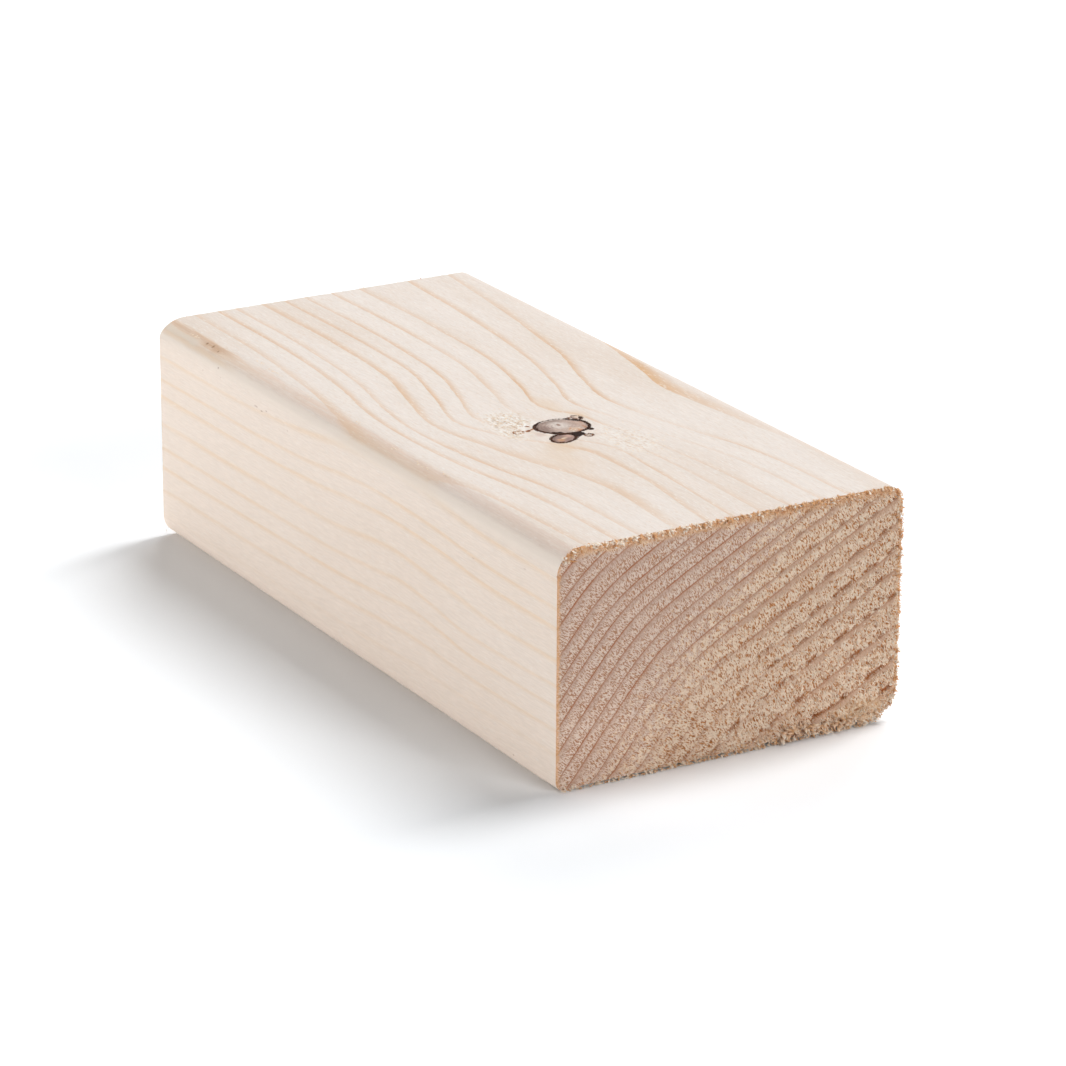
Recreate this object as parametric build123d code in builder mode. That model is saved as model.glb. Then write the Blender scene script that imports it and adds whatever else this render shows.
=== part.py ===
"""Timber stud: a sawn offcut of planed softwood with eased arrises and a strip of wane."""

import math
import os

from build123d import *

# Planed section and length of the piece
LENGTH = 161.5
WIDTH = 75.0
THICKNESS = 47.0

# Eased arrises, named as they stand seen from the front end
TOP_LEFT_ARRIS = 5.0
TOP_RIGHT_ARRIS = 3.6
BOTTOM_LEFT_ARRIS = 2.2
BOTTOM_RIGHT_ARRIS = 5.0

# The log: its pith runs along the stud, outside the section, beyond the right and bottom faces
PITH_BESIDE_CENTRE = 79.0
PITH_BELOW_BOTTOM = 75.0

# Wane: how far the log's tapering round lies below the crown of the top left arris
WANE_AT_BACK = 0.3
WANE_AT_FRONT = 0.15

# How far the log runs past each sawn end
LOG_OVERRUN = 5.0

half_width = WIDTH / 2
back_end = -LENGTH / 2

# Sharp corners of the section, as (sideways, upwards), with the radius that eases each one
eased_corners = {
    (-half_width, THICKNESS): TOP_LEFT_ARRIS,
    (half_width, THICKNESS): TOP_RIGHT_ARRIS,
    (-half_width, 0): BOTTOM_LEFT_ARRIS,
    (half_width, 0): BOTTOM_RIGHT_ARRIS,
}

# The crown of the top left arris is its point farthest from the pith
pith_to_arris_centre = math.hypot(
    PITH_BESIDE_CENTRE + half_width - TOP_LEFT_ARRIS,
    PITH_BELOW_BOTTOM + THICKNESS - TOP_LEFT_ARRIS,
)
crown_radius = pith_to_arris_centre + TOP_LEFT_ARRIS

# The log's round thins from front to back, and keeps its taper in the overruns
taper_over_length = (WANE_AT_BACK - WANE_AT_FRONT) / LENGTH
log_radius_back = crown_radius - WANE_AT_BACK - taper_over_length * LOG_OVERRUN
log_radius_front = crown_radius - WANE_AT_FRONT + taper_over_length * LOG_OVERRUN

# Lengthways plane at the log's back end, with its normal along the pith
log_plane = Plane(
    origin=(back_end - LOG_OVERRUN, PITH_BESIDE_CENTRE, -PITH_BELOW_BOTTOM),
    x_dir=(0, 1, 0),
    z_dir=(1, 0, 0),
)

with BuildPart() as timber_stud:
    # The planed section, eased at each corner and run the length of the piece
    with BuildSketch(Plane.YZ.offset(back_end)):
        Rectangle(WIDTH, THICKNESS, align=(Align.CENTER, Align.MIN))
        for corner, arris_radius in eased_corners.items():
            fillet(vertices().sort_by_distance(corner)[0], radius=arris_radius)
    extrude(amount=LENGTH)

    # Only what lies inside the tapering log is timber, which leaves the wane on the top left arris
    with BuildSketch(log_plane):
        Circle(log_radius_back)
    with BuildSketch(log_plane.offset(LENGTH + 2 * LOG_OVERRUN)):
        Circle(log_radius_front)
    loft(mode=Mode.INTERSECT)

timber_stud.part.label = "timber_stud"

os.makedirs("parts", exist_ok=True)
export_step(timber_stud.part, "parts/timber_stud.step")
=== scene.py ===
import itertools
import math

import bmesh
import bpy
import numpy as np
from mathutils import Matrix, Vector


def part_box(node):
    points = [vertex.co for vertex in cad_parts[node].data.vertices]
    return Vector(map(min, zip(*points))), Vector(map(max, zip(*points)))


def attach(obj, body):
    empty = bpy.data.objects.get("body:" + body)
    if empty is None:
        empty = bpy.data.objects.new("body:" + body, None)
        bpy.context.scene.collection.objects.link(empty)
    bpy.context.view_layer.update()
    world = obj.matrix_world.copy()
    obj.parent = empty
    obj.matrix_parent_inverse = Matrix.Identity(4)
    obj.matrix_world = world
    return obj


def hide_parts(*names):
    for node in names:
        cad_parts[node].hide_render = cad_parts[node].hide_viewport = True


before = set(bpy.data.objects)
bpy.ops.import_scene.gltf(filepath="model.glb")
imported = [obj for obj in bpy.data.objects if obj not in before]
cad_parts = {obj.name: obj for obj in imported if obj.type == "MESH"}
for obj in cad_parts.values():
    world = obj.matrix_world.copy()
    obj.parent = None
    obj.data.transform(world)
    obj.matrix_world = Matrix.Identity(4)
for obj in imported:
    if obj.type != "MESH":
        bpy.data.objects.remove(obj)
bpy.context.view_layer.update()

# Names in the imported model
NODE = "timber_stud"
BODY = "root"

# Shapes are worked out in millimetres and written to their meshes in metres
MM = 0.001
low_corner, high_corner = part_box(NODE)
LENGTH, WIDTH, THICKNESS = (round(side / MM, 3) for side in high_corner - low_corner)
HALF_LENGTH = LENGTH / 2
HALF_WIDTH = WIDTH / 2

# Eased arrises, seen from the front end
TOP_LEFT_ARRIS = 5.0
TOP_RIGHT_ARRIS = 3.6
BOTTOM_LEFT_ARRIS = 2.2
BOTTOM_RIGHT_ARRIS = 5.0

# At the back end the top left arris is wider than it is high, and the bottom left arris is rounder
BACK_ARRIS = (5.8, 3.8)
BACK_BOTTOM_ARRIS = 4.4

# How far the wane flattens the crown of the top left arris
WANE_AT_BACK = 0.15
WANE_AT_FRONT = 0.1

# Breakout at the bottom right corner of the front end
BREAKOUT_ARRIS = 8.0
BREAKOUT_REACH = 7.0

# Wear along the edges of the front end: height of the nicks in the bottom edge at its left and right,
# height and reach of the hollow behind that edge, and depth of the steps in the right edge
NICK_HEIGHTS = (0.12, 0.74)
HOLLOW_HEIGHT = 0.5
HOLLOW_REACH = 9.0
STEP_DEPTH = 0.35

# Arrises of the front end, anticlockwise from the top right: right or left, up or down, radius
FRONT_ARRISES = (
    (1, 1, TOP_RIGHT_ARRIS),
    (-1, 1, TOP_LEFT_ARRIS),
    (-1, -1, BOTTOM_LEFT_ARRIS),
    (1, -1, BREAKOUT_ARRIS),
)

# Relief of the sawn ends: mean depth, strokes and crumbs of torn wood, pits, and the smooth latewood,
# with the seed of each end by the way that it faces
SAWN_DEPTH = 0.14
STROKE_HEIGHT = 0.09
CRUMB_HEIGHT = 0.07
PIT_DEPTH = 0.2
LATEWOOD_RISE = 0.04
END_SEEDS = {1: 11, -1: 41}

# Shape of a ring in the section: two straight runs that meet in a rounded bend
LEFT_RUN_ANGLE = math.radians(52)
RIGHT_RUN_ANGLE = math.radians(27.5)
BEND_SHIFT = -13.75
BEND_ROUNDING = 1.4

# Places across the plane of the top face at which the rings' levels are read, and their number
CROSSING_SPAN = (-60, 260, 1601)

# Mean slope of the rings, to lay noise on the sawn ends by
MEAN_RUN_ANGLE = math.radians(40)

# Where the outer edge of each ring crosses the top face: distances from the right face,
# at stations measured from the back end, for the rings from ring 0 outwards
GRAIN_STATIONS = (0, 35, 60, 75, 90, 96, 102, 115, 130, LENGTH)
GRAIN_COURSES = (
    (-6, -2, 1.5, 4.2, 6.8, 6.6, 6.2, 4.8, 3, 2.6),
    (6, 10, 13.9, 18, 21.3, 20.9, 20, 17.2, 13.5, 11.6),
    (15.8, 17.8, 21, 24.5, 28.2, 27.4, 25.8, 22.8, 19.3, 17.4),
    (27.6, 27.4, 28.9, 31.8, 34.6, 31.2, 30.2, 27.8, 26, 24.7),
    (34.5, 34, 35.2, 38.2, 40.7, 38.6, 36, 32, 31, 31.2),
    (40.8, 40.3, 42.4, 46, 49.9, 47.6, 44.5, 36.2, 35.8, 37.4),
    (45.6, 45.5, 46.9, 50.7, 54.3, 52.4, 49.5, 40.5, 39.7, 42.6),
    (50.8, 50.4, 52.3, 56.3, 59, 58.1, 56.7, 53.8, 48.8, 49.4),
    (57.2, 57.3, 59.5, 62.6, 63.8, 63.6, 63.2, 61.5, 58.6, 57.3),
    (61.1, 61.4, 63.6, 66.2, 67, 66.9, 66.6, 65.6, 63.2, 62.2),
    (66.3, 67.1, 69.6, 71.5, 72.5, 72.5, 72.4, 71.5, 70, 68.7),
)

# Rings nearer to the pith, by where they would cross the plane of the top face, and the spacing further out
INNER_CROSSINGS = (-97, -86.5, -75.8, -65.7, -52.8, -41.2, -30.8, -23.4, -13.4, -3.5)
OUTER_SPACING = 6.0

# The swell round the knot leans forwards with depth and fades within this depth,
# and towards the back end the rings lie a little deeper on the left face
SWELL_LEAN = 0.7
SWELL_FADE_DEPTH = 18.0
RING_TILT = 0.1

# How strong the line at each outer ring's edge is along the top face,
# and the share of the ring that shades into it
LINE_STATIONS = (0, 40, 75, 90, 103, 115, 130, LENGTH)
LINE_STRENGTHS = (
    (0, 0, 0.9, 0.8, 0.55, 0.4, 0.1, 0),
    (0.55, 0.6, 0.85, 0.75, 0.3, 0.3, 0.5, 0.45),
    (0.55, 0.6, 0.7, 0.55, 0.15, 0.15, 0.3, 0.4),
    (0.4, 0.45, 0.8, 0.7, 0.5, 0.15, 0.3, 0.4),
    (0.75, 0.6, 0.4, 0.12, 0.1, 0.2, 0.4, 0.3),
    (0.5, 0.6, 0.65, 0.45, 0.1, 0.35, 0.5, 0.5),
    (0.5, 0.6, 0.7, 0.5, 0.2, 0.5, 0.45, 0.55),
    (0.5, 0.6, 0.65, 0.6, 0.55, 0.5, 0.5, 0.45),
    (0.5, 0.5, 0.6, 0.6, 0.6, 0.6, 0.6, 0.5),
    (0.6, 0.6, 0.65, 0.65, 0.65, 0.6, 0.5, 0.5),
    (0.35, 0.4, 0.5, 0.5, 0.45, 0.4, 0.4, 0.4),
)
LATEWOOD_SHARES = (0.5, 0.28, 0.28, 0.3, 0.36, 0.36, 0.4, 0.5, 0.4, 0.5, 0.45)

# Strength and share of the lines on the left face, and of rings beyond those above
LEFT_LINE = (0.38, 0.26)
OTHER_LINE = (0.45, 0.3)


# Noise and steps for the relief

def smooth_step(values, low, high):
    """From 0 below low to 1 above high, with a soft start and end."""
    share = np.clip((values - low) / (high - low), 0, 1)
    return share * share * (3 - 2 * share)


def lattice_noise(points, cell, seed):
    """Smooth noise from -1 to 1 on points, with one random value at each corner of a lattice of that cell."""
    places = np.asarray(points) / np.asarray(cell, float)
    corner = np.floor(places).astype(np.int64)
    share = places - corner
    share = share * share * (3 - 2 * share)
    total = np.zeros(len(places))
    for step in itertools.product((0, 1), repeat=places.shape[1]):
        weight = np.prod(np.where(step, share, 1 - share), axis=1)
        total += weight * lattice_value(corner + step, seed)
    return total


def lattice_value(corners, seed):
    """One value from -1 to 1 for each whole-number corner."""
    mixed = np.full(len(corners), seed * 7919 + 104729, np.uint64)
    for column, prime in zip(corners.T, (374761393, 668265263, 2246822519)):
        mixed = (mixed ^ (column.astype(np.uint64) * np.uint64(prime))) * np.uint64(1099511628211)
        mixed ^= mixed >> np.uint64(29)
    return (mixed >> np.uint64(11)).astype(float) / 2.0 ** 52 - 1


# The growth rings as a field through the whole stud

def ring_runs(from_left, height):
    """Levels of each point by the steep left run and by the shallow right run of the rings."""
    left_run = height * math.cos(LEFT_RUN_ANGLE) - from_left * math.sin(LEFT_RUN_ANGLE)
    right_run = height * math.cos(RIGHT_RUN_ANGLE) - from_left * math.sin(RIGHT_RUN_ANGLE) + BEND_SHIFT
    return left_run, right_run


def ring_level(from_left, height):
    """Level of the ring through each point of the section, higher towards the bark."""
    left_run, right_run = ring_runs(from_left, height)
    return (left_run + right_run) / 2 + np.hypot((left_run - right_run) / 2, BEND_ROUNDING)


def top_crossing(from_left, height):
    """Where the ring through each point would cross the plane of the top face, from the right face."""
    across = np.linspace(*CROSSING_SPAN)
    return WIDTH - np.interp(-ring_level(from_left, height), -ring_level(across, THICKNESS), across)


def course_at(stations):
    """Crossings of the outer rings at each station, smooth along the length."""
    knots = np.asarray(GRAIN_STATIONS, float)
    courses = np.asarray(GRAIN_COURSES, float).T
    slopes = np.gradient(courses, knots, axis=0)
    span = np.clip(np.searchsorted(knots, stations) - 1, 0, len(knots) - 2)
    width = (knots[span + 1] - knots[span])[:, None]
    share = np.clip((stations - knots[span])[:, None] / width, 0, 1)
    back, front = 1 - share, share
    return (
        courses[span] * back * back * (1 + 2 * front)
        + courses[span + 1] * front * front * (1 + 2 * back)
        + slopes[span] * width * front * back * back
        - slopes[span + 1] * width * front * front * back
    )


def ring_number(points):
    """Ring of each point: whole at a ring's outer edge, rising towards the bark."""
    along, aside, height = points.T
    station = along + HALF_LENGTH
    depth = np.clip(THICKNESS - height, 0, THICKNESS)
    crossing = top_crossing(aside + HALF_WIDTH, height)
    middle = np.sin(math.pi * np.clip(station / LENGTH, 0, 1))
    swollen = course_at(station - SWELL_LEAN * depth * middle)
    at_front = np.asarray(GRAIN_COURSES, float)[:, -1]
    fade = np.exp(-depth / SWELL_FADE_DEPTH)[:, None]
    tilt = (RING_TILT * depth * (1 - station / LENGTH))[:, None]
    outer = at_front + (swollen - at_front) * fade - tilt
    inner = np.tile(np.asarray(INNER_CROSSINGS, float), (len(points), 1))
    inner[:, -1] = np.minimum(inner[:, -1], outer[:, 0] - 3)
    beyond = outer[:, -1:] + OUTER_SPACING * np.arange(1, 4)
    edges = np.hstack([inner, outer, beyond])
    edges = np.maximum.accumulate(edges, axis=1)
    passed = np.clip((edges < crossing[:, None]).sum(axis=1), 1, edges.shape[1] - 1)
    rows = np.arange(len(points))
    before, after = edges[rows, passed - 1], edges[rows, passed]
    return passed - 1 - len(INNER_CROSSINGS) + (crossing - before) / np.maximum(after - before, 0.01)


def right_run_share(from_left, height, rounding):
    """From 0 on the steep left run of the rings to 1 on the shallow right run."""
    left_run, right_run = ring_runs(from_left, height)
    half_gap = (left_run - right_run) / 2
    return (1 - half_gap / np.hypot(half_gap, rounding)) / 2


def radial_direction(from_left, height):
    """Unit direction towards the bark in the section, as (sideways, upwards)."""
    right_share = right_run_share(from_left, height, BEND_ROUNDING)
    slope = LEFT_RUN_ANGLE + (RIGHT_RUN_ANGLE - LEFT_RUN_ANGLE) * right_share
    return -np.sin(slope), np.cos(slope)


# The body: a fine grid shaped to the section, with relief on its ends and round the knot

# Cells along each side of the grid, further cuts in its finer parts,
# and the part round the knot, by station and distance from the right face
LENGTH_CELLS = 64
WIDTH_CELLS = 60
THICKNESS_CELLS = 38
FRONT_CUTS = 4
BACK_CUTS = 1
KNOT_CUTS = 9
KNOT_WINDOW = ((90, 112), (29.5, 50))

# How far the cells along the length crowd towards the ends
END_CROWDING = 0.35

# Islands of the body's own map in a square sheet: side, axes read as across and up, place and scale
MAP_SHEET = 260.0
MAP_ISLANDS = {
    "top": ((0, 1), (2, 2), 1.0),
    "bottom": ((0, 1), (2, 80), 1.0),
    "left": ((0, 2), (2, 158), 1.0),
    "right": ((0, 2), (2, 208), 1.0),
    "front": ((1, 2), (167, 2), 1.2),
    "back": ((1, 2), (167, 62), 1.2),
}
SIDE_NORMALS = {
    "top": (0, 0, 1),
    "bottom": (0, 0, -1),
    "left": (0, -1, 0),
    "right": (0, 1, 0),
    "front": (1, 0, 0),
    "back": (-1, 0, 0),
}


def on_top(station, from_right, height=0.0):
    """Point on the top face from its station and its distance from the right face."""
    return Vector((station - HALF_LENGTH, HALF_WIDTH - from_right, THICKNESS + height))


def cut_along(grid, axis, cells):
    """Cut every edge that runs along one axis into equal cells."""
    edges = [edge for edge in grid.edges if abs((edge.verts[0].co - edge.verts[1].co)[axis]) > 0.01]
    bmesh.ops.subdivide_edges(grid, edges=edges, cuts=cells - 1, use_grid_fill=True)


def refine(grid, cuts, chosen):
    """Cut the chosen faces into smaller squares."""
    edges = {edge for face in grid.faces if chosen(face) for edge in face.edges}
    bmesh.ops.subdivide_edges(grid, edges=list(edges), cuts=cuts, use_grid_fill=True)


def near_knot(face):
    """Whether a face of the grid lies on the top face near the knot."""
    middle = face.calc_center_median()
    station, from_right = middle.x + HALF_LENGTH, HALF_WIDTH - middle.y
    (first, last), (inner, outer) = KNOT_WINDOW
    return face.normal.z > 0.5 and first < station < last and inner < from_right < outer


def stud_grid():
    """A closed box of squares, finest on the front end and round the knot."""
    grid = bmesh.new()
    bmesh.ops.create_cube(grid, size=1)
    bmesh.ops.translate(grid, vec=(0, 0, 0.5), verts=grid.verts)
    bmesh.ops.scale(grid, vec=(LENGTH, WIDTH, THICKNESS), verts=grid.verts)
    for axis, cells in enumerate((LENGTH_CELLS, WIDTH_CELLS, THICKNESS_CELLS)):
        cut_along(grid, axis, cells)
    for corner in grid.verts:
        share = corner.co.x / HALF_LENGTH
        corner.co.x = HALF_LENGTH * ((1 + END_CROWDING) * share - END_CROWDING * share ** 3)
    refine(grid, FRONT_CUTS, lambda face: face.normal.x > 0.5)
    refine(grid, BACK_CUTS, lambda face: face.normal.x < -0.5)
    refine(grid, KNOT_CUTS, near_knot)
    for edge in grid.edges:
        ends = [abs(face.normal.x) > 0.5 for face in edge.link_faces]
        edge.smooth = all(ends) or not any(ends)
    return grid


def map_body(mesh, points):
    """Lay the six sides out on the body's own map, and return the side of each face."""
    normals = np.empty(len(mesh.polygons) * 3)
    mesh.polygons.foreach_get("normal", normals)
    names = list(SIDE_NORMALS)
    side = (normals.reshape(-1, 3) @ np.asarray(list(SIDE_NORMALS.values())).T).argmax(axis=1)
    corner_of = np.empty(len(mesh.loops), np.int64)
    mesh.loops.foreach_get("vertex_index", corner_of)
    sizes = np.empty(len(mesh.polygons), np.int64)
    mesh.polygons.foreach_get("loop_total", sizes)
    side_of_loop = np.repeat(side, sizes)
    low = np.array((-HALF_LENGTH, -HALF_WIDTH, 0))
    spots = np.empty((len(corner_of), 2))
    for number, name in enumerate(names):
        (across, up), place, scale = MAP_ISLANDS[name]
        here = side_of_loop == number
        measured = (points - low)[corner_of[here]][:, (across, up)]
        spots[here] = np.asarray(place) + measured * scale
    layer = mesh.uv_layers.new(name="OFBake")
    layer.uv.foreach_set("vector", (spots / MAP_SHEET).astype(np.float32).ravel())
    return side


def arris_radii(along):
    """Radii of the top left arris, aside and up, at places along the stud."""
    from_back = ((along + HALF_LENGTH) / LENGTH)[:, None]
    return np.asarray(BACK_ARRIS) * (1 - from_back) + TOP_LEFT_ARRIS * from_back


def ease_arris(points, to_right, to_top, radii, dip=0.0):
    """Round one corner of the section by radii aside and up. A dip flattens the crown of the round."""
    signs = np.array((1 if to_right else -1, 1 if to_top else -1))
    corner = np.array((signs[0] * HALF_WIDTH, THICKNESS if to_top else 0))
    centre = corner - signs * radii
    offset = (points[:, 1:] - centre) * signs / radii
    here = (offset > 0).all(axis=1)
    distance = np.maximum(np.hypot(*offset.T), 1e-6)
    heading = offset / distance[:, None]
    crown = 1 - dip / radii.mean(axis=1) * (2 * heading[:, 0] * heading[:, 1]) ** 2
    reach = offset.max(axis=1) * crown
    points[here, 1:] = (centre + heading * reach[:, None] * radii * signs)[here]


def ease_section(points):
    """Round the four arrises, with the wane at the top left and the breakout at the bottom right."""
    even = np.ones((len(points), 2))
    from_front = HALF_LENGTH - points[:, 0]
    wane = WANE_AT_FRONT + (WANE_AT_BACK - WANE_AT_FRONT) * from_front / LENGTH
    broken = 1 - smooth_step(from_front, 0, BREAKOUT_REACH)
    bottom_right = BOTTOM_RIGHT_ARRIS + (BREAKOUT_ARRIS - BOTTOM_RIGHT_ARRIS) * broken
    ease_arris(points, False, True, arris_radii(points[:, 0]), wane)
    ease_arris(points, True, True, even * TOP_RIGHT_ARRIS)
    bottom_left = BOTTOM_LEFT_ARRIS + (BACK_BOTTOM_ARRIS - BOTTOM_LEFT_ARRIS) * from_front / LENGTH
    ease_arris(points, False, False, even * bottom_left[:, None])
    ease_arris(points, True, False, even * bottom_right[:, None])


def arris_turn(points):
    """From 0 on the left face to 1 on the top face, by the angle round the top left arris."""
    radii = arris_radii(points[:, 0])
    inwards = (points[:, 1] + HALF_WIDTH) / radii[:, 0] - 1
    upwards = (points[:, 2] - THICKNESS) / radii[:, 1] + 1
    turn = np.arctan2(np.maximum(upwards, 0), np.maximum(-inwards, 0)) / (math.pi / 2)
    return np.where(inwards >= 0, 1.0, np.where(upwards <= 0, 0.0, turn))


def line_looks(points, ring):
    """Strength of the nearest ring line at each point, and the share of its ring that shades into it."""
    line = np.floor(ring + 0.5).astype(int)
    outer = (line >= 0) & (line < len(LINE_STRENGTHS))
    station = points[:, 0] + HALF_LENGTH
    strength = np.full(len(points), OTHER_LINE[0])
    share = np.full(len(points), OTHER_LINE[1])
    for number, (strengths, latewood) in enumerate(zip(LINE_STRENGTHS, LATEWOOD_SHARES)):
        here = outer & (line == number)
        strength[here] = np.interp(station[here], LINE_STATIONS, strengths)
        share[here] = latewood
    turn = arris_turn(points)
    fading = smooth_step(points[:, 2], 2, 14)
    strength = strength * turn + LEFT_LINE[0] * fading * (1 - turn)
    return strength, share * turn + LEFT_LINE[1] * (1 - turn)


def fray_rim(points):
    """Nick and hollow the bottom edge of the front end, most at the right, and step its right edge."""
    from_front = HALF_LENGTH - points[:, 0]
    near = 1 - smooth_step(from_front, 0.3, 3.2)
    low = 1 - smooth_step(points[:, 2], 0, 2.4)
    nicks = smooth_step(lattice_noise(points[:, 1:2], (1.7,), 61), -0.2, 0.8)
    nicks += 0.5 * smooth_step(lattice_noise(points[:, 1:2], (0.7,), 62), 0, 0.8)
    at_left, at_right = NICK_HEIGHTS
    points[:, 2] += near * low * nicks * (at_left + (at_right - at_left) * smooth_step(points[:, 1], -20, 22))
    hollow = 1 - smooth_step(from_front, 0, HOLLOW_REACH)
    past_corner = smooth_step(points[:, 1], -HALF_WIDTH, 8 - HALF_WIDTH)
    points[:, 2] += HOLLOW_HEIGHT * hollow * low * (0.3 + 0.7 * past_corner)
    steps = smooth_step(lattice_noise(points[:, 2:], (1.4,), 63), -0.1, 0.8)
    beside = smooth_step(points[:, 1], HALF_WIDTH - 2.2, HALF_WIDTH)
    points[:, 1] -= near * beside * steps * STEP_DEPTH


def ring_places(points):
    """Distances across and along the rings, by their mean slope, to lay noise on the sawn ends by."""
    aside, height = points[:, 1], points[:, 2]
    across = height * math.cos(MEAN_RUN_ANGLE) - aside * math.sin(MEAN_RUN_ANGLE)
    along = aside * math.cos(MEAN_RUN_ANGLE) + height * math.sin(MEAN_RUN_ANGLE)
    return np.stack([across, along], axis=1)


def coarseness(points):
    """From fine at the top left of an end to coarse at the bottom right and along the torn top edge."""
    coarse = 0.2 + (points[:, 1] + HALF_WIDTH) / WIDTH * 0.6 + (1 - points[:, 2] / THICKNESS) * 0.3
    ragged = 0.9 * lattice_noise(points[:, 1:], (1.6, 1.6), 95)
    return np.clip(coarse + 0.6 * (1 - smooth_step(THICKNESS - points[:, 2] + ragged, 0.4, 2.2)), 0, 1)


def torn_out(points):
    """How torn the end is near the bottom edge, right of the middle."""
    spread = ((points[:, 1] - 16) / 13) ** 2 + ((points[:, 2] - 1) / 6.5) ** 2
    return 1 - smooth_step(spread, 0.35, 1)


def latewood_band(points, phase):
    """From 0 in the torn earlywood to 1 in the smooth latewood, wide and soft where the wood is fine."""
    wander = 0.1 * lattice_noise(points[:, 1:], (2.5, 2.5), 91)
    wander += 0.08 * lattice_noise(points[:, 1:], (0.8, 0.8), 92)
    coarse = coarseness(points)
    start = 0.22 + 0.56 * coarse + wander
    band = smooth_step(phase, start, start + 0.65 - 0.53 * coarse)
    dull = ((points[:, 1] + 4) / 24) ** 2 + ((points[:, 2] - 11) / 15) ** 2
    return band * (0.35 + 0.65 * smooth_step(dull, 0.2, 1.2))


def sawn_relief(points, ring, seed):
    """Depth of the sawn surface below the plane of the end, and how deep its pits are."""
    phase = ring - np.floor(ring)
    places = ring_places(points)
    coarse = coarseness(points)
    band = latewood_band(points, phase)
    strokes = lattice_noise(places, (0.9, 0.5), seed)
    crumbs = lattice_noise(points[:, 1:], (0.6, 0.6), seed + 1)
    pits = smooth_step(lattice_noise(places, (0.7, 1.1), seed + 2), -0.2, 0.4)
    pits *= (1 - smooth_step(phase, 0.08, 0.24)) * smooth_step(coarse, 0.5, 0.85)
    gaps = smooth_step(lattice_noise(places, (0.8, 0.7), seed + 4), 0.2, 0.55)
    pits = np.maximum(pits, 0.4 * gaps * smooth_step(coarse, 0.6, 1.0) * (1 - band))
    lumps = lattice_noise(points[:, 1:], (1.9, 1.7), seed + 3)
    depth = SAWN_DEPTH - (1 - band) * (STROKE_HEIGHT * strokes + CRUMB_HEIGHT * crumbs) * (0.3 + coarse)
    depth += pits * PIT_DEPTH - LATEWOOD_RISE * band
    depth += torn_out(points) * (0.3 + 0.7 * lumps)
    return depth, pits


def write_values(mesh, name, values):
    """Store one value for each vertex of a mesh."""
    mesh.attributes.new(name, "FLOAT", "POINT").data.foreach_set("value", np.asarray(values, np.float32))


def write_points(mesh, points):
    """Move a mesh's vertices to points in millimetres."""
    mesh.vertices.foreach_set("co", (points * MM).astype(np.float32).ravel())
    mesh.update()


def read_points(mesh):
    """Vertex positions as they stand in a mesh."""
    flat = np.empty(len(mesh.vertices) * 3)
    mesh.vertices.foreach_get("co", flat)
    return flat.reshape(-1, 3)


# The knot: hearts of wood in rims of bark, placed by station and distance from the right face

# Centre, half sizes along and across, turn in degrees, and the height of the top
HEARTS = {
    "main": ((100.6, 37.9), (4.4, 5.3), -12, 0.03),
    "second": ((107.0, 41.3), (2.15, 2.9), 28, 0.02),
    "chip": ((107.8, 36.2), (0.75, 0.85), 0, 0.02),
    "wedge": ((97.2, 32.7), (1.3, 0.9), 35, 0.02),
}
HEART_DEPTH = 1.6
SUNK_DEPTH = 0.9
PITH_PLACE = (99.8, 38.2)

# Thickness of the main heart's bark at equal steps of angle, from the front round by the right face
MAIN_BARK = (0.5, 0.3, 0.45, 0.4, 0.3, 0.35, 0.35, 0.22, 0.16, 0.16, 0.22, 0.36, 0.55, 0.5, 0.6, 0.65)

# Rings of bark: centre, half sizes, turn, thickness by angle, number of crumbs tried,
# and shades of the darkest and the lightest
BARK_RINGS = (
    (*HEARTS["main"][:3], MAIN_BARK, 1100, 0.0, 0.55),
    (*HEARTS["second"][:3], (0.4, 0.5, 0.4, 0.2, 0.35, 0.4, 0.45, 0.55), 460, 0.0, 0.6),
    (*HEARTS["chip"][:3], (0.15, 0.25, 0.3, 0.3, 0.25, 0.2, 0.15, 0.15), 90, 0.3, 0.85),
    (*HEARTS["wedge"][:3], (0.0, 0.05, 0.15, 0.1, 0.05, 0.1, 0.12, 0.05), 60, 0.4, 0.9),
    ((99.9, 47.2), (0.7, 1.0), 0, (0.25, 0.25, 0.25, 0.25), 90, 0.6, 0.95),
)

# Patches of bark beside the hearts: place, radius, number of crumbs,
# and shades of the darkest and the lightest
BARK_PATCHES = (
    # The first, blackest patch fills the gap between the hearts: partly dark bark, partly painted shade of
    # the gap.
    ((106.2, 37.4), 1.1, 200, 0.0, 0.05),
    ((107.1, 38.2), 0.65, 60, 0.0, 0.1),
    ((104.1, 40.4), 0.5, 40, 0.0, 0.25),
    ((103.7, 41.4), 0.65, 60, 0.0, 0.25),
    ((104.7, 33.9), 0.6, 50, 0.0, 0.2),
    ((100.1, 45.3), 0.4, 24, 0.65, 0.85),
    ((99.6, 44.1), 0.25, 8, 0.75, 0.95),
    ((109.1, 43.0), 0.45, 26, 0.2, 0.6),
    ((97.0, 34.4), 0.5, 14, 0.3, 0.75),
    ((97.7, 32.1), 0.3, 12, 0.1, 0.4),
    ((98.6, 32.5), 0.3, 12, 0.1, 0.4),
    ((99.8, 44.7), 0.2, 8, 0.7, 0.9),
    ((97.4, 44.0), 0.3, 8, 0.6, 0.9),
)

# Height of a crumb of bark, as a share of its width
CRUMB_TALLNESS = 0.5

# Wood torn by the planer beside the knot: middle by station and distance from the right face, radii, strength
TORN_PATCHES = (
    ((93.5, 45.8), (8.5, 6.0), 1.0),
    ((100.0, 48.5), (6.0, 3.5), 0.7),
    ((114.0, 31.0), (13.0, 7.5), 0.4),
)


def add_object(name, data):
    """A new object in the scene."""
    made = bpy.data.objects.new(name, data)
    bpy.context.scene.collection.objects.link(made)
    return made


def mesh_from(name, shape):
    """A mesh from an edited shape, which isn't needed after that."""
    mesh = bpy.data.meshes.new(name)
    shape.to_mesh(mesh)
    shape.free()
    return mesh


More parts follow.
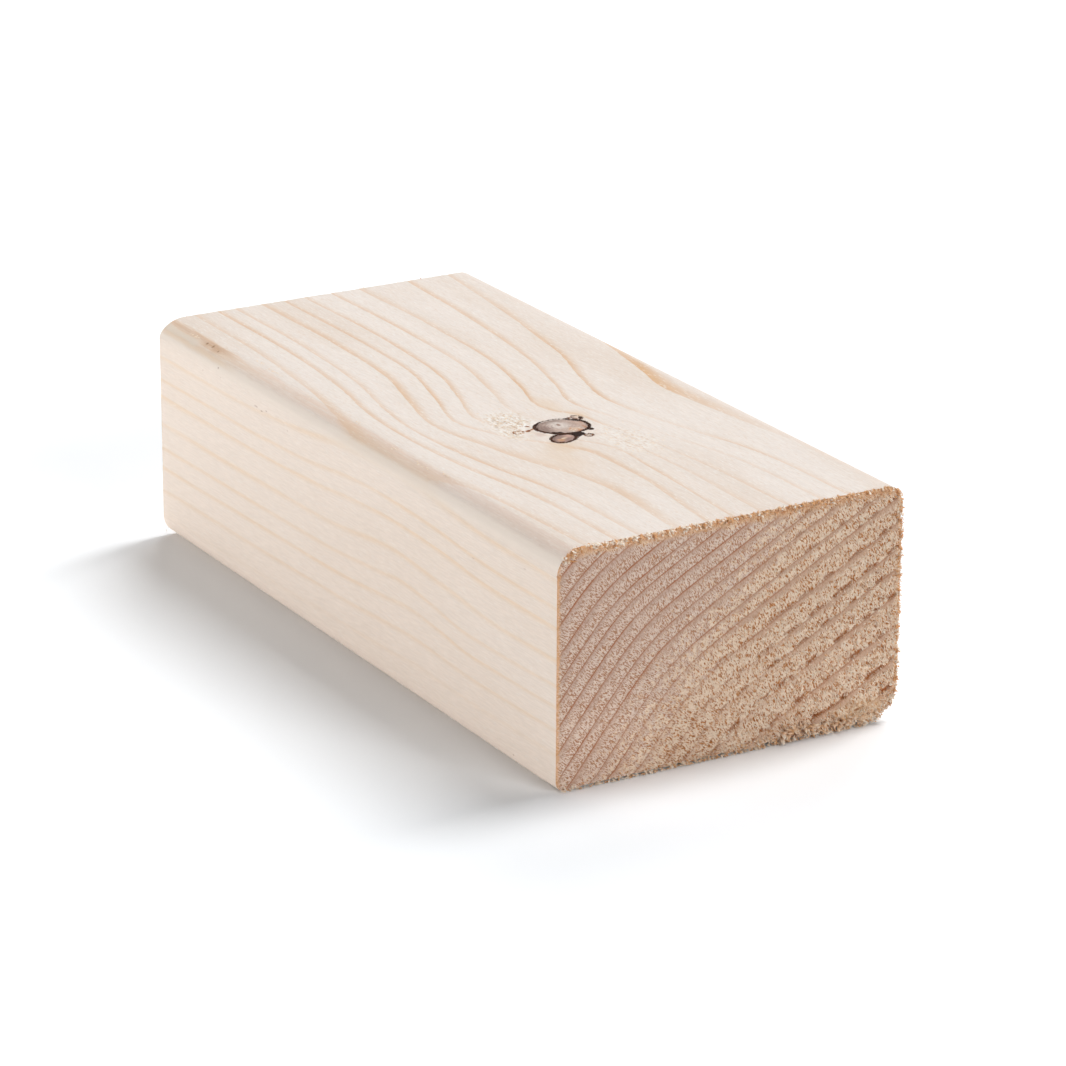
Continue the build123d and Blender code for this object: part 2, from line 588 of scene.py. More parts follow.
def make_piece(name, mesh, materials):
    """Object for a finished mesh, riding on the body."""
    for material in materials:
        mesh.materials.append(material)
    piece = add_object(name, mesh)
    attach(piece, BODY)
    return piece


def build_body(planed, sawn):
    """The stud itself, in place of the plain solid."""
    mesh = mesh_from("stud_body", stud_grid())
    points = read_points(mesh)
    side = map_body(mesh, points)
    on_front = points[:, 0] > HALF_LENGTH - 0.01
    on_back = points[:, 0] < 0.01 - HALF_LENGTH
    ease_section(points)
    ring = ring_number(points)
    strength, share = line_looks(points, ring)
    values = {
        "ring": ring,
        "strength": strength,
        "share": share,
        "coarse": coarseness(points),
        "band": latewood_band(points, ring - np.floor(ring)),
        "arris": arris_turn(points),
        "bend": right_run_share(points[:, 1] + HALF_WIDTH, points[:, 2], 2.0),
        "pits": np.zeros(len(points)),
    }
    for here, facing in ((on_front, 1), (on_back, -1)):
        depth, values["pits"][here] = sawn_relief(points[here], ring[here], END_SEEDS[facing])
        points[here, 0] -= facing * depth
    fray_rim(points)
    sink_knot(points)
    write_points(mesh, points)
    for name, given in values.items():
        write_values(mesh, name, given)
    names = list(SIDE_NORMALS)
    ends = np.isin(side, (names.index("front"), names.index("back")))
    mesh.polygons.foreach_set("material_index", ends.astype(np.int32))
    mesh.polygons.foreach_set("use_smooth", np.ones(len(side), bool))
    body = make_piece("stud_body", mesh, (planed, sawn))
    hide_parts(NODE)
    return body


def heart_share(points, heart):
    """Distance from a heart's centre, as a share of the distance to its outline."""
    place, (along, across), turn = heart[:3]
    centre = on_top(*place)
    angle = math.radians(turn)
    forward = points[:, 0] - centre.x
    rightward = points[:, 1] - centre.y
    first = (forward * math.cos(angle) + rightward * math.sin(angle)) / along
    second = (rightward * math.cos(angle) - forward * math.sin(angle)) / across
    return np.hypot(first, second)


def torn_patches(points):
    """From 0 on clean planed wood to 1 where the planer tore the grain beside the knot."""
    torn = np.zeros(len(points))
    for (station, from_right), (along, across), strength in TORN_PATCHES:
        centre = on_top(station, from_right)
        spread = ((points[:, 0] - centre.x) / along) ** 2 + ((points[:, 1] - centre.y) / across) ** 2
        torn = np.maximum(torn, strength * (1 - smooth_step(spread, 0.2, 1.0)))
    return torn


def sink_knot(points):
    """Roughen the torn wood beside the knot, and sink the top face under its hearts to make room for bark."""
    top = points[:, 2] > THICKNESS - 0.01
    spots = points[top][:, :2]
    grains = lattice_noise(spots, (0.55, 0.4), 73) + 0.6 * lattice_noise(spots, (0.3, 0.25), 74)
    points[top, 2] += torn_patches(points[top]) * (0.035 * grains - 0.04)
    sunk = np.zeros(len(points))
    for heart in HEARTS.values():
        sunk = np.maximum(sunk, 1 - smooth_step(heart_share(points, heart), 0.97, 1.08))
    points[top, 2] -= SUNK_DEPTH * sunk[top]


def build_hearts(material):
    """Flat-topped pillows of knot wood."""
    hearts = bmesh.new()
    centre_layer = hearts.verts.layers.float.new("heart")
    kind_layer = hearts.verts.layers.float.new("kind")
    for number, ((station, from_right), (along, across), turn, height) in enumerate(HEARTS.values()):
        made = bmesh.ops.create_uvsphere(hearts, u_segments=64, v_segments=40, radius=1)
        for corner in made["verts"]:
            flat = math.hypot(corner.co.x, corner.co.y)
            corner.co /= (flat ** 5 + abs(corner.co.z) ** 5) ** 0.2
            corner[centre_layer] = math.hypot(corner.co.x, corner.co.y)
            corner[kind_layer] = number
        size = Matrix.Diagonal((along, across, HEART_DEPTH / 2, 1))
        spin = Matrix.Rotation(math.radians(turn), 4, "Z")
        place = Matrix.Translation(on_top(station, from_right, height - HEART_DEPTH / 2))
        bmesh.ops.transform(hearts, matrix=place @ spin @ size, verts=made["verts"])
    mesh = mesh_from("knot_hearts", hearts)
    points = read_points(mesh)
    wander = points[:, :2].copy()
    points[:, 0] += 0.3 * lattice_noise(wander, (1.7, 1.7), 75)
    points[:, 1] += 0.3 * lattice_noise(wander, (1.7, 1.7), 76)
    top = points[:, 2] > THICKNESS - 0.5
    points[top, 2] += 0.06 * lattice_noise(points[top][:, :2], (0.7, 0.7), 71)
    points[top, 2] += 0.04 * lattice_noise(points[top][:, :2], (0.3, 0.3), 72)
    write_points(mesh, points)
    mesh.polygons.foreach_set("use_smooth", np.ones(len(mesh.polygons), bool))
    return make_piece("knot_hearts", mesh, (material,))


def bark_places(random):
    """Places, sizes and shades of the bark's crumbs, as (station, from right, radius, shade)."""
    crumbs = []
    for (station, from_right), (along, across), turn, bark, count, darkest, lightest in BARK_RINGS:
        steps = np.arange(len(bark) + 1) * 2 * math.pi / len(bark)
        lean = math.radians(turn)
        angle = random.uniform(0, 2 * math.pi, count)
        thickness = np.interp(angle, steps, bark + bark[:1])
        keep = random.uniform(0, max(bark), count) < thickness
        angle, thickness = angle[keep], thickness[keep]
        out = random.uniform(-0.15, thickness)
        first = (along + out) * np.cos(angle)
        second = (across + out) * np.sin(angle)
        crumbs.append(np.column_stack([
            station + first * math.cos(lean) - second * math.sin(lean),
            from_right - first * math.sin(lean) - second * math.cos(lean),
            random.uniform(0.07, 0.1 + 0.3 * thickness),
            random.uniform(darkest, lightest, len(angle)),
        ]))
    for (station, from_right), reach, count, darkest, lightest in BARK_PATCHES:
        angle = random.uniform(0, 2 * math.pi, count)
        out = reach * random.uniform(0, 1, count) ** 0.5
        crumbs.append(np.column_stack([
            station + out * np.cos(angle),
            from_right + out * np.sin(angle),
            random.uniform(0.12, 0.28, count),
            random.uniform(darkest, lightest, count),
        ]))
    return np.vstack(crumbs)


def build_bark(material):
    """Crumbs of bark round the hearts, each a dented and stretched ball."""
    random = np.random.default_rng(23)
    crumbs = bark_places(random)
    places = np.asarray([tuple(on_top(station, from_right)) for station, from_right in crumbs[:, :2]])
    places[:, 2] -= crumbs[:, 2] * random.uniform(0.05, 0.3, len(places))
    corners, faces = crumb_shape()
    dents = random.uniform(0.75, 1.12, (len(places), len(corners), 1))
    sizes = random.uniform(0.7, 1.3, (len(places), 1, 3)) * crumbs[:, 2][:, None, None]
    sizes[:, :, 2] *= CRUMB_TALLNESS
    mesh = joined_mesh("knot_bark", places[:, None, :] + corners * dents * sizes, (faces,))
    write_values(mesh, "shade", np.repeat(crumbs[:, 3], len(corners)))
    return make_piece("knot_bark", mesh, (material,))


# Fibres and crumbs: small closed shapes, many to a piece

# Faces of one sliver: three sides up to its middle, then its root cap and three sides up to its tip
SLIVER_QUADS = ((0, 1, 4, 3), (1, 2, 5, 4), (2, 0, 3, 5))
SLIVER_TRIANGLES = ((0, 2, 1), (3, 4, 6), (4, 5, 6), (5, 3, 6))

# Shade at each corner of a fibre or a chip, from its root to its tip, as a share of its own: darker at the
# root, as painted shade where fibres and chips meet the wood
SLIVER_SHADES = (0.55, 0.55, 0.7, 0.9, 0.9, 1.0, 1.0)
CHIP_SHADES = (0.4, 0.4, 0.5, 0.75, 0.75, 0.9, 1.0)

# Thickness of chips and of the fibres on the planed faces, as a share of a fibre's on the ends
THIN = 0.3

# The least height of a fibre over the floor
CLEAR_OF_FLOOR = 0.02


def joined_mesh(name, shapes, face_groups):
    """One mesh of many like shapes, from the points of each and one's faces, grouped by number of sides."""
    count, corners = shapes.shape[:2]
    shapes[:, :, 2] += np.maximum(0, CLEAR_OF_FLOOR - shapes[:, :, 2].min(axis=1))[:, None]
    first = np.arange(count)[:, None, None] * corners
    groups = [(np.asarray(group) + first).reshape(-1, len(group[0])) for group in face_groups]
    sides = np.concatenate([np.full(len(group), group.shape[1]) for group in groups])
    mesh = bpy.data.meshes.new(name)
    mesh.vertices.add(count * corners)
    mesh.loops.add(int(sides.sum()))
    mesh.polygons.add(len(sides))
    corner_of = np.concatenate([group.ravel() for group in groups])
    mesh.loops.foreach_set("vertex_index", corner_of.astype(np.int32))
    mesh.polygons.foreach_set("loop_start", (np.cumsum(sides) - sides).astype(np.int32))
    mesh.polygons.foreach_set("use_smooth", np.zeros(len(sides), bool))
    write_points(mesh, shapes.reshape(-1, 3))
    mesh.update(calc_edges=True)
    return mesh


def crumb_shape():
    """Corners and faces of a rough ball of radius one."""
    ball = bmesh.new()
    bmesh.ops.create_icosphere(ball, subdivisions=1, radius=1)
    ball.verts.index_update()
    corners = np.asarray([tuple(corner.co) for corner in ball.verts])
    faces = [tuple(corner.index for corner in face.verts) for face in ball.faces]
    ball.free()
    return corners, faces


def unit(vectors):
    """Vectors at length one."""
    return vectors / np.linalg.norm(vectors, axis=1, keepdims=True)


def sliver_points(root, heading, facing, length, width, curl, flat):
    """Seven corners for each sliver: a triangle at the root, one at the middle, and the tip."""
    aside = unit(np.cross(facing, heading))
    above = np.cross(heading, aside)
    half = (width / 2)[:, None]
    middle = root + heading * (length * 0.5)[:, None] + above * (curl * 0.3)[:, None]
    tip = root + heading * length[:, None] + above * curl[:, None]
    corners = []
    for centre, share in ((root, 1.0), (middle, 0.85)):
        corners.append(centre - aside * half * share - above * half * 0.35 * flat)
        corners.append(centre + aside * half * share - above * half * 0.35 * flat)
        corners.append(centre + above * half * 0.6 * share * flat)
    return np.stack([*corners, tip], axis=1)


def build_slivers(
    name, material, root, heading, facing, length, width, curl, shade, glow, flat=1.0, shades=SLIVER_SHADES
):
    """One joined piece of slivers, each with its shade and share of orange. A low flat makes them thin."""
    points = sliver_points(root, unit(heading), unit(facing), length, width, curl, flat)
    mesh = joined_mesh(name, points, (SLIVER_QUADS, SLIVER_TRIANGLES))
    write_values(mesh, "shade", np.outer(shade, shades).ravel())
    write_values(mesh, "glow", np.repeat(glow, len(shades)))
    map_slivers(mesh, len(root))
    return make_piece(name, mesh, (material,))


def map_slivers(mesh, count):
    """Give each sliver its own small cell of the piece's map."""
    columns = math.ceil(math.sqrt(count))
    cell = np.stack(np.divmod(np.arange(count), columns), axis=1)
    quad_spots = [[(0.1, k), (0.1, k + 1), (0.5, k + 1), (0.5, k)] for k in range(3)]
    cap_spots = [(0.02, 0.3), (0.02, 1.5), (0.08, 0.9)]
    tip_spots = [[(0.5, k), (0.5, k + 1), (0.95, k + 0.5)] for k in range(3)]
    quad_spots = np.asarray(quad_spots).reshape(1, -1, 2)
    triangle_spots = np.asarray([cap_spots, *tip_spots]).reshape(1, -1, 2)
    shrink = np.array((0.94, 0.9 / 3))
    quads = (cell[:, None, :] + 0.03 + quad_spots * shrink).reshape(-1, 2)
    triangles = (cell[:, None, :] + 0.03 + triangle_spots * shrink).reshape(-1, 2)
    layer = mesh.uv_layers.new(name="OFBake")
    layer.uv.foreach_set("vector", (np.vstack([quads, triangles]) / columns).astype(np.float32).ravel())


def inside_section(points):
    """Whether places on the front end, as (sideways, upwards), lie inside its eased outline."""
    inside = np.ones(len(points), bool)
    for side, up, radius in FRONT_ARRISES:
        aside = points[:, 0] * side - HALF_WIDTH + radius
        upward = (points[:, 1] - THICKNESS / 2) * up - THICKNESS / 2 + radius
        inside &= ~((aside > 0) & (upward > 0) & (np.hypot(aside, upward) > radius))
    return inside


def build_end_fuzz(name, material, facing, count, seed):
    """Torn fibres over one sawn end, thick on coarse earlywood and sparse on fine wood and latewood."""
    random = np.random.default_rng(seed)
    tries = np.column_stack([
        random.uniform(-HALF_WIDTH + 0.3, HALF_WIDTH - 0.3, count),
        random.uniform(0.6, THICKNESS - 0.3, count),
    ])
    tries = tries[inside_section(tries)]
    root = np.column_stack([np.full(len(tries), facing * HALF_LENGTH), tries])
    ring = ring_number(root)
    band = latewood_band(root, ring - np.floor(ring))
    clumps = lattice_noise(tries, (1.1, 1.1), seed + 50)
    coarse = coarseness(root)
    chance = 1 - (0.99 - 0.1 * coarse) * band
    chance *= 0.18 + 0.75 * smooth_step(coarse, 0.3, 0.85)
    chance *= 0.75 + 0.4 * clumps
    depth, pits = sawn_relief(root, ring, END_SEEDS[facing])
    keep = random.uniform(0, 1, len(root)) < chance * (1 - 0.85 * pits)
    root, ring, coarse, depth = root[keep], ring[keep], coarse[keep], depth[keep]
    root[:, 0] -= facing * (depth + 0.05)
    sideways, upwards = radial_direction(root[:, 1] + HALF_WIDTH, root[:, 2])
    turn = random.normal(0, 0.45, len(root)) * (0.5 + 0.9 * coarse)
    by_line = ring - np.floor(ring) < 0.3
    turn += np.where((random.uniform(0, 1, len(root)) < 0.5) & ~by_line, math.pi, 0)
    lift = random.uniform(0.1, 0.2 + 0.35 * coarse)
    heading = np.column_stack([
        facing * np.sin(lift),
        (sideways * np.cos(turn) - upwards * np.sin(turn)) * np.cos(lift),
        (sideways * np.sin(turn) + upwards * np.cos(turn)) * np.cos(lift),
    ])
    normal = np.column_stack([
        np.full(len(root), float(facing)),
        random.normal(0, 0.2, len(root)),
        random.uniform(0.0, 0.8, len(root)),
    ])
    length = random.uniform(0.4, 0.9, len(root)) * (0.6 + 0.45 * coarse + 0.15 * coarse ** 3)
    width = random.uniform(0.1, 0.22, len(root)) * (0.55 + 0.6 * coarse + 0.25 * coarse ** 3)
    curl = random.uniform(-0.15, 0.15, len(root))
    shade = np.clip(random.normal(0.82 + 0.25 * coarse, 0.33), 0, 1.4)
    # Fibres near the top edge get glow: painted light through them, partly their own orange.
    by_top = smooth_step(root[:, 2], THICKNESS - 2.4, THICKNESS - 0.6)
    glow = by_top * random.uniform(0, 0.8, len(root))
    return build_slivers(name, material, root, heading, normal, length, width, curl, shade, glow)


# Torn wood along the rim of the front end, by edge: chips to a millimetre, how far in they start, their size,
# and how likely they are to be white, or else orange
RIM_LOOKS = {
    "top": (9, 0.3, 1.4, 0.7, 0.9),
    "left": (1.5, 0.2, 0.35, 0.4, 0.3),
    "right": (10, 0.4, 1.1, 0.6, 0.8),
    "bottom": (8, 0.4, 1.0, 0.75, 0.1),
}

# Places tried to a millimetre of the rim, and how much larger its chips are by the top left corner
RIM_TRIES = 60
RIM_BY_CORNER = 1.5

# The way that chips face: forwards and up, like the tiles of a roof, give or take the spread
CHIP_FACING = (0.6, 0.05, 0.8)
CHIP_SPREAD = 0.16


def rim_outline():
    """Closed outline of the front end, in small steps."""
    steps = np.linspace(0, math.pi / 2, 12)
    corners = []
    for number, (side, up, radius) in enumerate(FRONT_ARRISES):
        centre = (side * (HALF_WIDTH - radius), THICKNESS / 2 + up * (THICKNESS / 2 - radius))
        angles = steps + number * math.pi / 2
        corners.append(np.column_stack([
            centre[0] + radius * np.cos(angles),
            centre[1] + radius * np.sin(angles),
        ]))
    outline = np.vstack(corners)
    return np.vstack([outline, outline[:1]])


def rim_places(random):
    """Places along the front rim, with the outward direction, looks, size and tuft of each."""
    outline = rim_outline()
    runs = np.hypot(*np.diff(outline, axis=0).T)
    travelled = np.concatenate([[0], np.cumsum(runs)])
    place = np.sort(random.uniform(0, travelled[-1], int(travelled[-1] * RIM_TRIES)))
    on_rim = np.column_stack([np.interp(place, travelled, outline[:, axis]) for axis in (0, 1)])
    step = np.clip(np.searchsorted(travelled, place) - 1, 0, len(runs) - 1)
    onwards = np.diff(outline, axis=0)[step] / runs[step][:, None]
    outwards = np.column_stack([onwards[:, 1], -onwards[:, 0]])
    facing = np.column_stack([outwards[:, 1], -outwards[:, 0], outwards[:, 0], -outwards[:, 1]])
    edges = ("top", "left", "right", "bottom")
    looks = np.asarray([RIM_LOOKS[name] for name in edges])[facing.argmax(axis=1)]
    clumps = 0.5 + 0.5 * lattice_noise(place[:, None], (1.3,), 33)
    corner = np.hypot(on_rim[:, 0] + HALF_WIDTH - 4, on_rim[:, 1] - THICKNESS)
    larger = 1 + (RIM_BY_CORNER - 1) * (1 - smooth_step(corner, 4, 16))
    sizes = looks[:, 2] * (0.65 + 0.7 * clumps) * larger
    keep = random.uniform(0, RIM_TRIES, len(place)) < looks[:, 0] * (0.4 + 1.2 * clumps)
    tufts = lattice_noise(place[:, None], (0.9,), 35)
    return tuple(column[keep] for column in (on_rim, outwards, looks, sizes, tufts))


def build_chips(name, material, random, root, length, width, shade, glow):
    """Small chips of torn wood that lean forwards, each turned at random in its own plane."""
    count = len(root)
    facing = unit(np.asarray(CHIP_FACING) + random.normal(0, CHIP_SPREAD, (count, 3)))
    heading = unit(np.cross(facing, random.normal(0, 1, (count, 3))))
    curl = random.uniform(-0.1, 0.1, count) * length
    return build_slivers(
        name, material, root, heading, facing, length, width, curl, shade, glow, THIN, CHIP_SHADES
    )


def build_rim_chips(material):
    """Ragged chips that the saw left along the edges of the front end."""
    random = np.random.default_rng(8)
    on_rim, outwards, looks, sizes, tufts = rim_places(random)
    count = len(on_rim)
    inset = random.exponential(1, count) * looks[:, 1]
    root = np.column_stack([
        HALF_LENGTH + random.uniform(-0.25, 0.3, count),
        on_rim - outwards * inset[:, None],
    ])
    length = np.minimum(0.55 * sizes * random.uniform(0.6, 1.4, count), inset + 0.55)
    width = random.uniform(0.22, 0.45, count) * sizes ** 0.5
    up_right = smooth_step(outwards[:, 1], 0.5, 0.9) * smooth_step(on_rim[:, 0], -10, 15)
    chance = 1.5 * looks[:, 3] * smooth_step(tufts, -0.3, 0.2)
    white = random.uniform(0, 1, count) < chance * (1 - 0.6 * up_right)
    orange = random.uniform(0, 1, count) < looks[:, 4]
    shade = np.where(white, random.uniform(1.4, 1.9, count), random.uniform(0.6, 1.0, count))
    # The glow is painted light through thin chips, partly their own orange, and faint on the white ones.
    faint = random.uniform(0, 0.15, count)
    warm = orange * random.uniform(0.3, 0.8, count) * (1 - 0.4 * up_right)
    glow = np.where(white, faint, warm)
    return build_chips("front_rim_chips", material, random, root, length, width, shade, glow)


# Clusters of larger chips at the bottom edge of the front end:
# middle as (sideways, upwards), spread, number, length
TORN_CHIPS = (
    ((13.0, 1.9), (1.6, 0.9), 34, 1.8),
    ((16.6, 2.0), (1.5, 0.8), 24, 1.6),
    ((20.0, 1.4), (1.6, 0.7), 22, 1.5),
    ((23.5, 1.6), (1.8, 0.7), 24, 1.4),
    ((27.5, 1.8), (1.8, 0.8), 28, 1.3),
    ((31.5, 2.6), (1.6, 1.0), 26, 1.0),
    ((34.5, 5.0), (0.8, 1.6), 20, 0.9),
    ((6.0, 1.0), (3.0, 0.5), 22, 1.0),
    ((-8.0, 0.7), (8.0, 0.3), 40, 0.7),
)


def build_torn_chips(material):
    """Chips of wood that the saw pushed out at the bottom edge."""
    random = np.random.default_rng(29)
    rows = []
    for (aside, up), (across, rise), count, longest in TORN_CHIPS:
        rows.append(np.column_stack([
            HALF_LENGTH + random.uniform(-0.4, 0.5, count) * longest,
            aside + random.normal(0, 0.7, count) * across,
            np.maximum(up + random.normal(0, 0.7, count) * rise, 0.3),
            longest * random.uniform(0.5, 1.0, count),
        ]))
    chips = np.vstack(rows)
    count = len(chips)
    width = chips[:, 3] * random.uniform(0.35, 0.65, count)
    shade = random.uniform(0.9, 1.35, count)
    glow = np.clip(random.normal(0.1, 0.12, count), 0, 1)
    return build_chips("torn_chips", material, random, chips[:, :3], chips[:, 3], width, shade, glow)


# Torn fibres on the planed faces

# Fibres tried beside the knot, and the share of them at each torn patch
FACE_FIBRES = 420
PATCH_SHARES = (0.5, 0.2, 0.3)

# Pale slivers lifted from the top left arris: station, turn round the arris, spread along, number
ARRIS_SLIVERS = (
    (36.0, 0.93, 2.5, 12),
    (42.0, 0.9, 2.0, 14),
    (59.5, 0.78, 1.2, 5),
    (71.0, 0.8, 0.8, 3),
    (79.0, 0.84, 1.2, 5),
    (95.5, 0.72, 1.6, 6),
    (106.5, 0.7, 2.2, 12),
    (113.5, 0.82, 1.5, 7),
    (135.0, 0.85, 0.6, 2),
    (11.0, 0.66, 2.2, 10),
)


def arris_places(station, turn):
    """Points on the round of the top left arris, and the direction that each faces."""
    radii = arris_radii(station - HALF_LENGTH)
    angle = turn * math.pi / 2
    aside = radii[:, 0] * (1 - np.cos(angle)) - HALF_WIDTH
    upward = THICKNESS - radii[:, 1] * (1 - np.sin(angle))
    facing = np.column_stack([np.zeros(len(angle)), -np.cos(angle), np.sin(angle)])
    return np.column_stack([station - HALF_LENGTH, aside, upward]), facing


def build_face_fibres(material):
    """Short torn fibres that lie on the top face near the knot and along the arris."""
    random = np.random.default_rng(17)
    patch = random.choice(len(TORN_PATCHES), FACE_FIBRES, p=PATCH_SHARES)
    middles = np.asarray([tuple(on_top(*place)) for place, radii, strength in TORN_PATCHES])[patch]
    radii = np.asarray([(*radii, 0) for place, radii, strength in TORN_PATCHES])[patch]
    root = middles + radii * random.normal(0, 0.42, (FACE_FIBRES, 3))
    clear = np.ones(FACE_FIBRES, bool)
    for heart in HEARTS.values():
        clear &= heart_share(root, heart) > 1.25
    root = root[clear]
    facing = np.tile((0.0, 0.0, 1.0), (len(root), 1))
    turn = random.normal(0, 0.6, len(root))
    for station, arris, spread, count in ARRIS_SLIVERS:
        stations = station + random.normal(0, 0.6, count) * spread
        more_root, more_facing = arris_places(stations, arris + random.normal(0, 0.025, count))
        root = np.vstack([root, more_root])
        facing = np.vstack([facing, more_facing])
        turn = np.concatenate([turn, random.normal(0, 0.12, count)])
    count = len(root)
    lift = random.uniform(0.0, 0.04, count)
    across = np.cross(facing, (1.0, 0.0, 0.0))
    heading = np.column_stack([np.cos(turn), np.zeros(count), np.zeros(count)])
    heading += across * np.sin(turn)[:, None] + facing * lift[:, None]
    length = random.uniform(0.35, 1.1, count)
    width = random.uniform(0.12, 0.26, count)
    curl = random.uniform(0.0, 0.02, count)
    shade = random.uniform(1.15, 1.4, count)
    glow = np.zeros(count)
    return build_slivers(
        "face_fibres", material, root, heading, facing, length, width, curl, shade, glow, THIN
    )


# Shader building

def srgb(red, green, blue):
    """Linear colour from levels of 0 to 255 as a screen shows them."""
    levels = [level / 255 for level in (red, green, blue)]
    return (*(((v + 0.055) / 1.055) ** 2.4 if v > 0.04045 else v / 12.92 for v in levels), 1.0)


def feed(tree, socket, value):
    """Link an output to a socket, or set the socket's own value."""
    if isinstance(value, bpy.types.NodeSocket):
        tree.links.new(value, socket)
    else:
        socket.default_value = value


def calc(tree, operation, *values):
    """A sum on values."""
    step = tree.nodes.new("ShaderNodeMath")
    step.operation = operation
    for socket, value in zip(step.inputs, values):
        feed(tree, socket, value)
    return step.outputs[0]


def vector_calc(tree, operation, *vectors):
    """A sum on vectors, or the length of one."""
    step = tree.nodes.new("ShaderNodeVectorMath")
    step.operation = operation
    for socket, vector in zip(step.inputs, vectors):
        feed(tree, socket, vector)
    return step.outputs["Value" if operation == "LENGTH" else "Vector"]


def soften(tree, value, low, high, first=0.0, last=1.0):
    """A soft step from first to last as a value goes from low to high."""
    step = tree.nodes.new("ShaderNodeMapRange")
    step.interpolation_type = "SMOOTHSTEP"
    names = ("Value", "From Min", "From Max", "To Min", "To Max")
    for name, given in zip(names, (value, low, high, first, last)):
        feed(tree, step.inputs[name], given)
    return step.outputs["Result"]


def blend(tree, share, first, second, kind="MIX"):
    """Mix of two colours."""
    step = tree.nodes.new("ShaderNodeMix")
    step.data_type = "RGBA"
    step.blend_type = kind
    feed(tree, step.inputs["Factor"], share)
    feed(tree, step.inputs[6], first)
    feed(tree, step.inputs[7], second)
    return step.outputs[2]


def stretch(tree, vector, factors):
    """Coordinates multiplied axis by axis."""
    return vector_calc(tree, "MULTIPLY", vector, factors)


def noise(tree, vector, factors, detail=2.0, roughness=0.5):
    """Noise value on stretched coordinates: factors are features per millimetre."""
    step = tree.nodes.new("ShaderNodeTexNoise")
    feed(tree, step.inputs["Vector"], stretch(tree, vector, factors))
    step.inputs["Scale"].default_value = 1.0
    step.inputs["Detail"].default_value = detail
    step.inputs["Roughness"].default_value = roughness
    return step.outputs["Fac"]


def stored(tree, name):
    """A value stored on the mesh."""
    step = tree.nodes.new("ShaderNodeAttribute")
    step.attribute_name = name
    return step.outputs["Fac"]


def ramp(tree, value, stops):
    """Colour ramp through stops of (place, colour)."""
    step = tree.nodes.new("ShaderNodeValToRGB")
    points = step.color_ramp.elements
    points[0].position, points[0].color = stops[0]
    points[1].position, points[1].color = stops[-1]
    for place, colour in stops[1:-1]:
        points.new(place).color = colour
    feed(tree, step.inputs["Fac"], value)
    return step.outputs["Color"]


def millimetres(tree):
    """Object coordinates in millimetres."""
    step = tree.nodes.new("ShaderNodeTexCoord")
    return stretch(tree, step.outputs["Object"], (1 / MM, 1 / MM, 1 / MM))


def bump(tree, height, distance):
    """Normal from a height, with the full height in millimetres."""
    step = tree.nodes.new("ShaderNodeBump")
    step.inputs["Strength"].default_value = 1.0
    step.inputs["Distance"].default_value = distance * MM
    feed(tree, step.inputs["Height"], height)
    return step.outputs["Normal"]


def new_material(name, roughness, specular=0.5):
    """A material with one surface shader, of a roughness and a specular level."""
    material = bpy.data.materials.new(name)
    material.use_nodes = True
    tree = material.node_tree
    tree.nodes.clear()
    output = tree.nodes.new("ShaderNodeOutputMaterial")
    surface = tree.nodes.new("ShaderNodeBsdfPrincipled")
    surface.inputs["Roughness"].default_value = roughness
    surface.inputs["Specular IOR Level"].default_value = specular
    tree.links.new(surface.outputs[0], output.inputs["Surface"])
    return material, tree, surface


def times(tree, *values):
    """Product of values."""
    total = values[0]
    for value in values[1:]:
        total = calc(tree, "MULTIPLY", total, value)
    return total


def shifted(tree, value, pattern, reach):
    """A value moved up and down by a noise pattern, by up to half of the reach each way."""
    return calc(tree, "ADD", value, times(tree, calc(tree, "SUBTRACT", pattern, 0.5), reach))


# Sockets of the node group for a patch of colour, which the planed, the sawn and the knot wood share
PATCH_INPUTS = {
    "Place": "NodeSocketVector",
    "Middle": "NodeSocketVector",
    "Radii": "NodeSocketVector",
    "Edge": "NodeSocketFloat",
    "Rough": "NodeSocketFloat",
    "Pattern": "NodeSocketFloat",
}


def patch_group():
    """Node group for the mask of a soft oval about a point, with its outline shifted by a noise pattern."""
    group = bpy.data.node_groups.new("ragged_patch", "ShaderNodeTree")
    for name, kind in PATCH_INPUTS.items():
        group.interface.new_socket(name, in_out="INPUT", socket_type=kind)
    group.interface.new_socket("Mask", in_out="OUTPUT", socket_type="NodeSocketFloat")
    given = group.nodes.new("NodeGroupInput").outputs
    offset = vector_calc(group, "SUBTRACT", given["Place"], given["Middle"])
    reach = vector_calc(group, "LENGTH", vector_calc(group, "DIVIDE", offset, given["Radii"]))
    distance = shifted(group, reach, given["Pattern"], given["Rough"])
    inner = calc(group, "SUBTRACT", 1.0, given["Edge"])
    mask = soften(group, distance, inner, 1.0, 1.0, 0.0)
    feed(group, group.nodes.new("NodeGroupOutput").inputs["Mask"], mask)
    return group


RAGGED_PATCH = patch_group()


def spot(tree, where, middle, radii, edge=0.5, rough=0.0, pattern=0.5):
    """Mask of a soft, ragged oval about a point, from the shared group."""
    patch = tree.nodes.new("ShaderNodeGroup")
    patch.node_tree = RAGGED_PATCH
    values = (where, tuple(middle), tuple(radii), edge, rough, pattern)
    for name, given in zip(PATCH_INPUTS, values):
        feed(tree, patch.inputs[name], given)
    return patch.outputs["Mask"]


def window(tree, value, first, full, fading, last):
    """From 0 to 1 between first and full, and back to 0 between fading and last."""
    return times(tree, soften(tree, value, first, full), soften(tree, value, fading, last, 1.0, 0.0))


def toned(tree, colour, tone):
    """A colour made lighter or darker by a factor."""
    grey = tree.nodes.new("ShaderNodeCombineColor")
    for socket in grey.inputs[:3]:
        feed(tree, socket, tone)
    return blend(tree, 1.0, colour, grey.outputs[0], "MULTIPLY")


def tinted(tree, colour, tint, *shares):
    """A colour covered by a tint, as far as the product of shares says."""
    return blend(tree, times(tree, *shares), colour, srgb(*tint))


def tree_axis(tree, vector, axis):
    """One coordinate of a vector."""
    step = tree.nodes.new("ShaderNodeSeparateXYZ")
    feed(tree, step.inputs[0], vector)
    return step.outputs[axis]


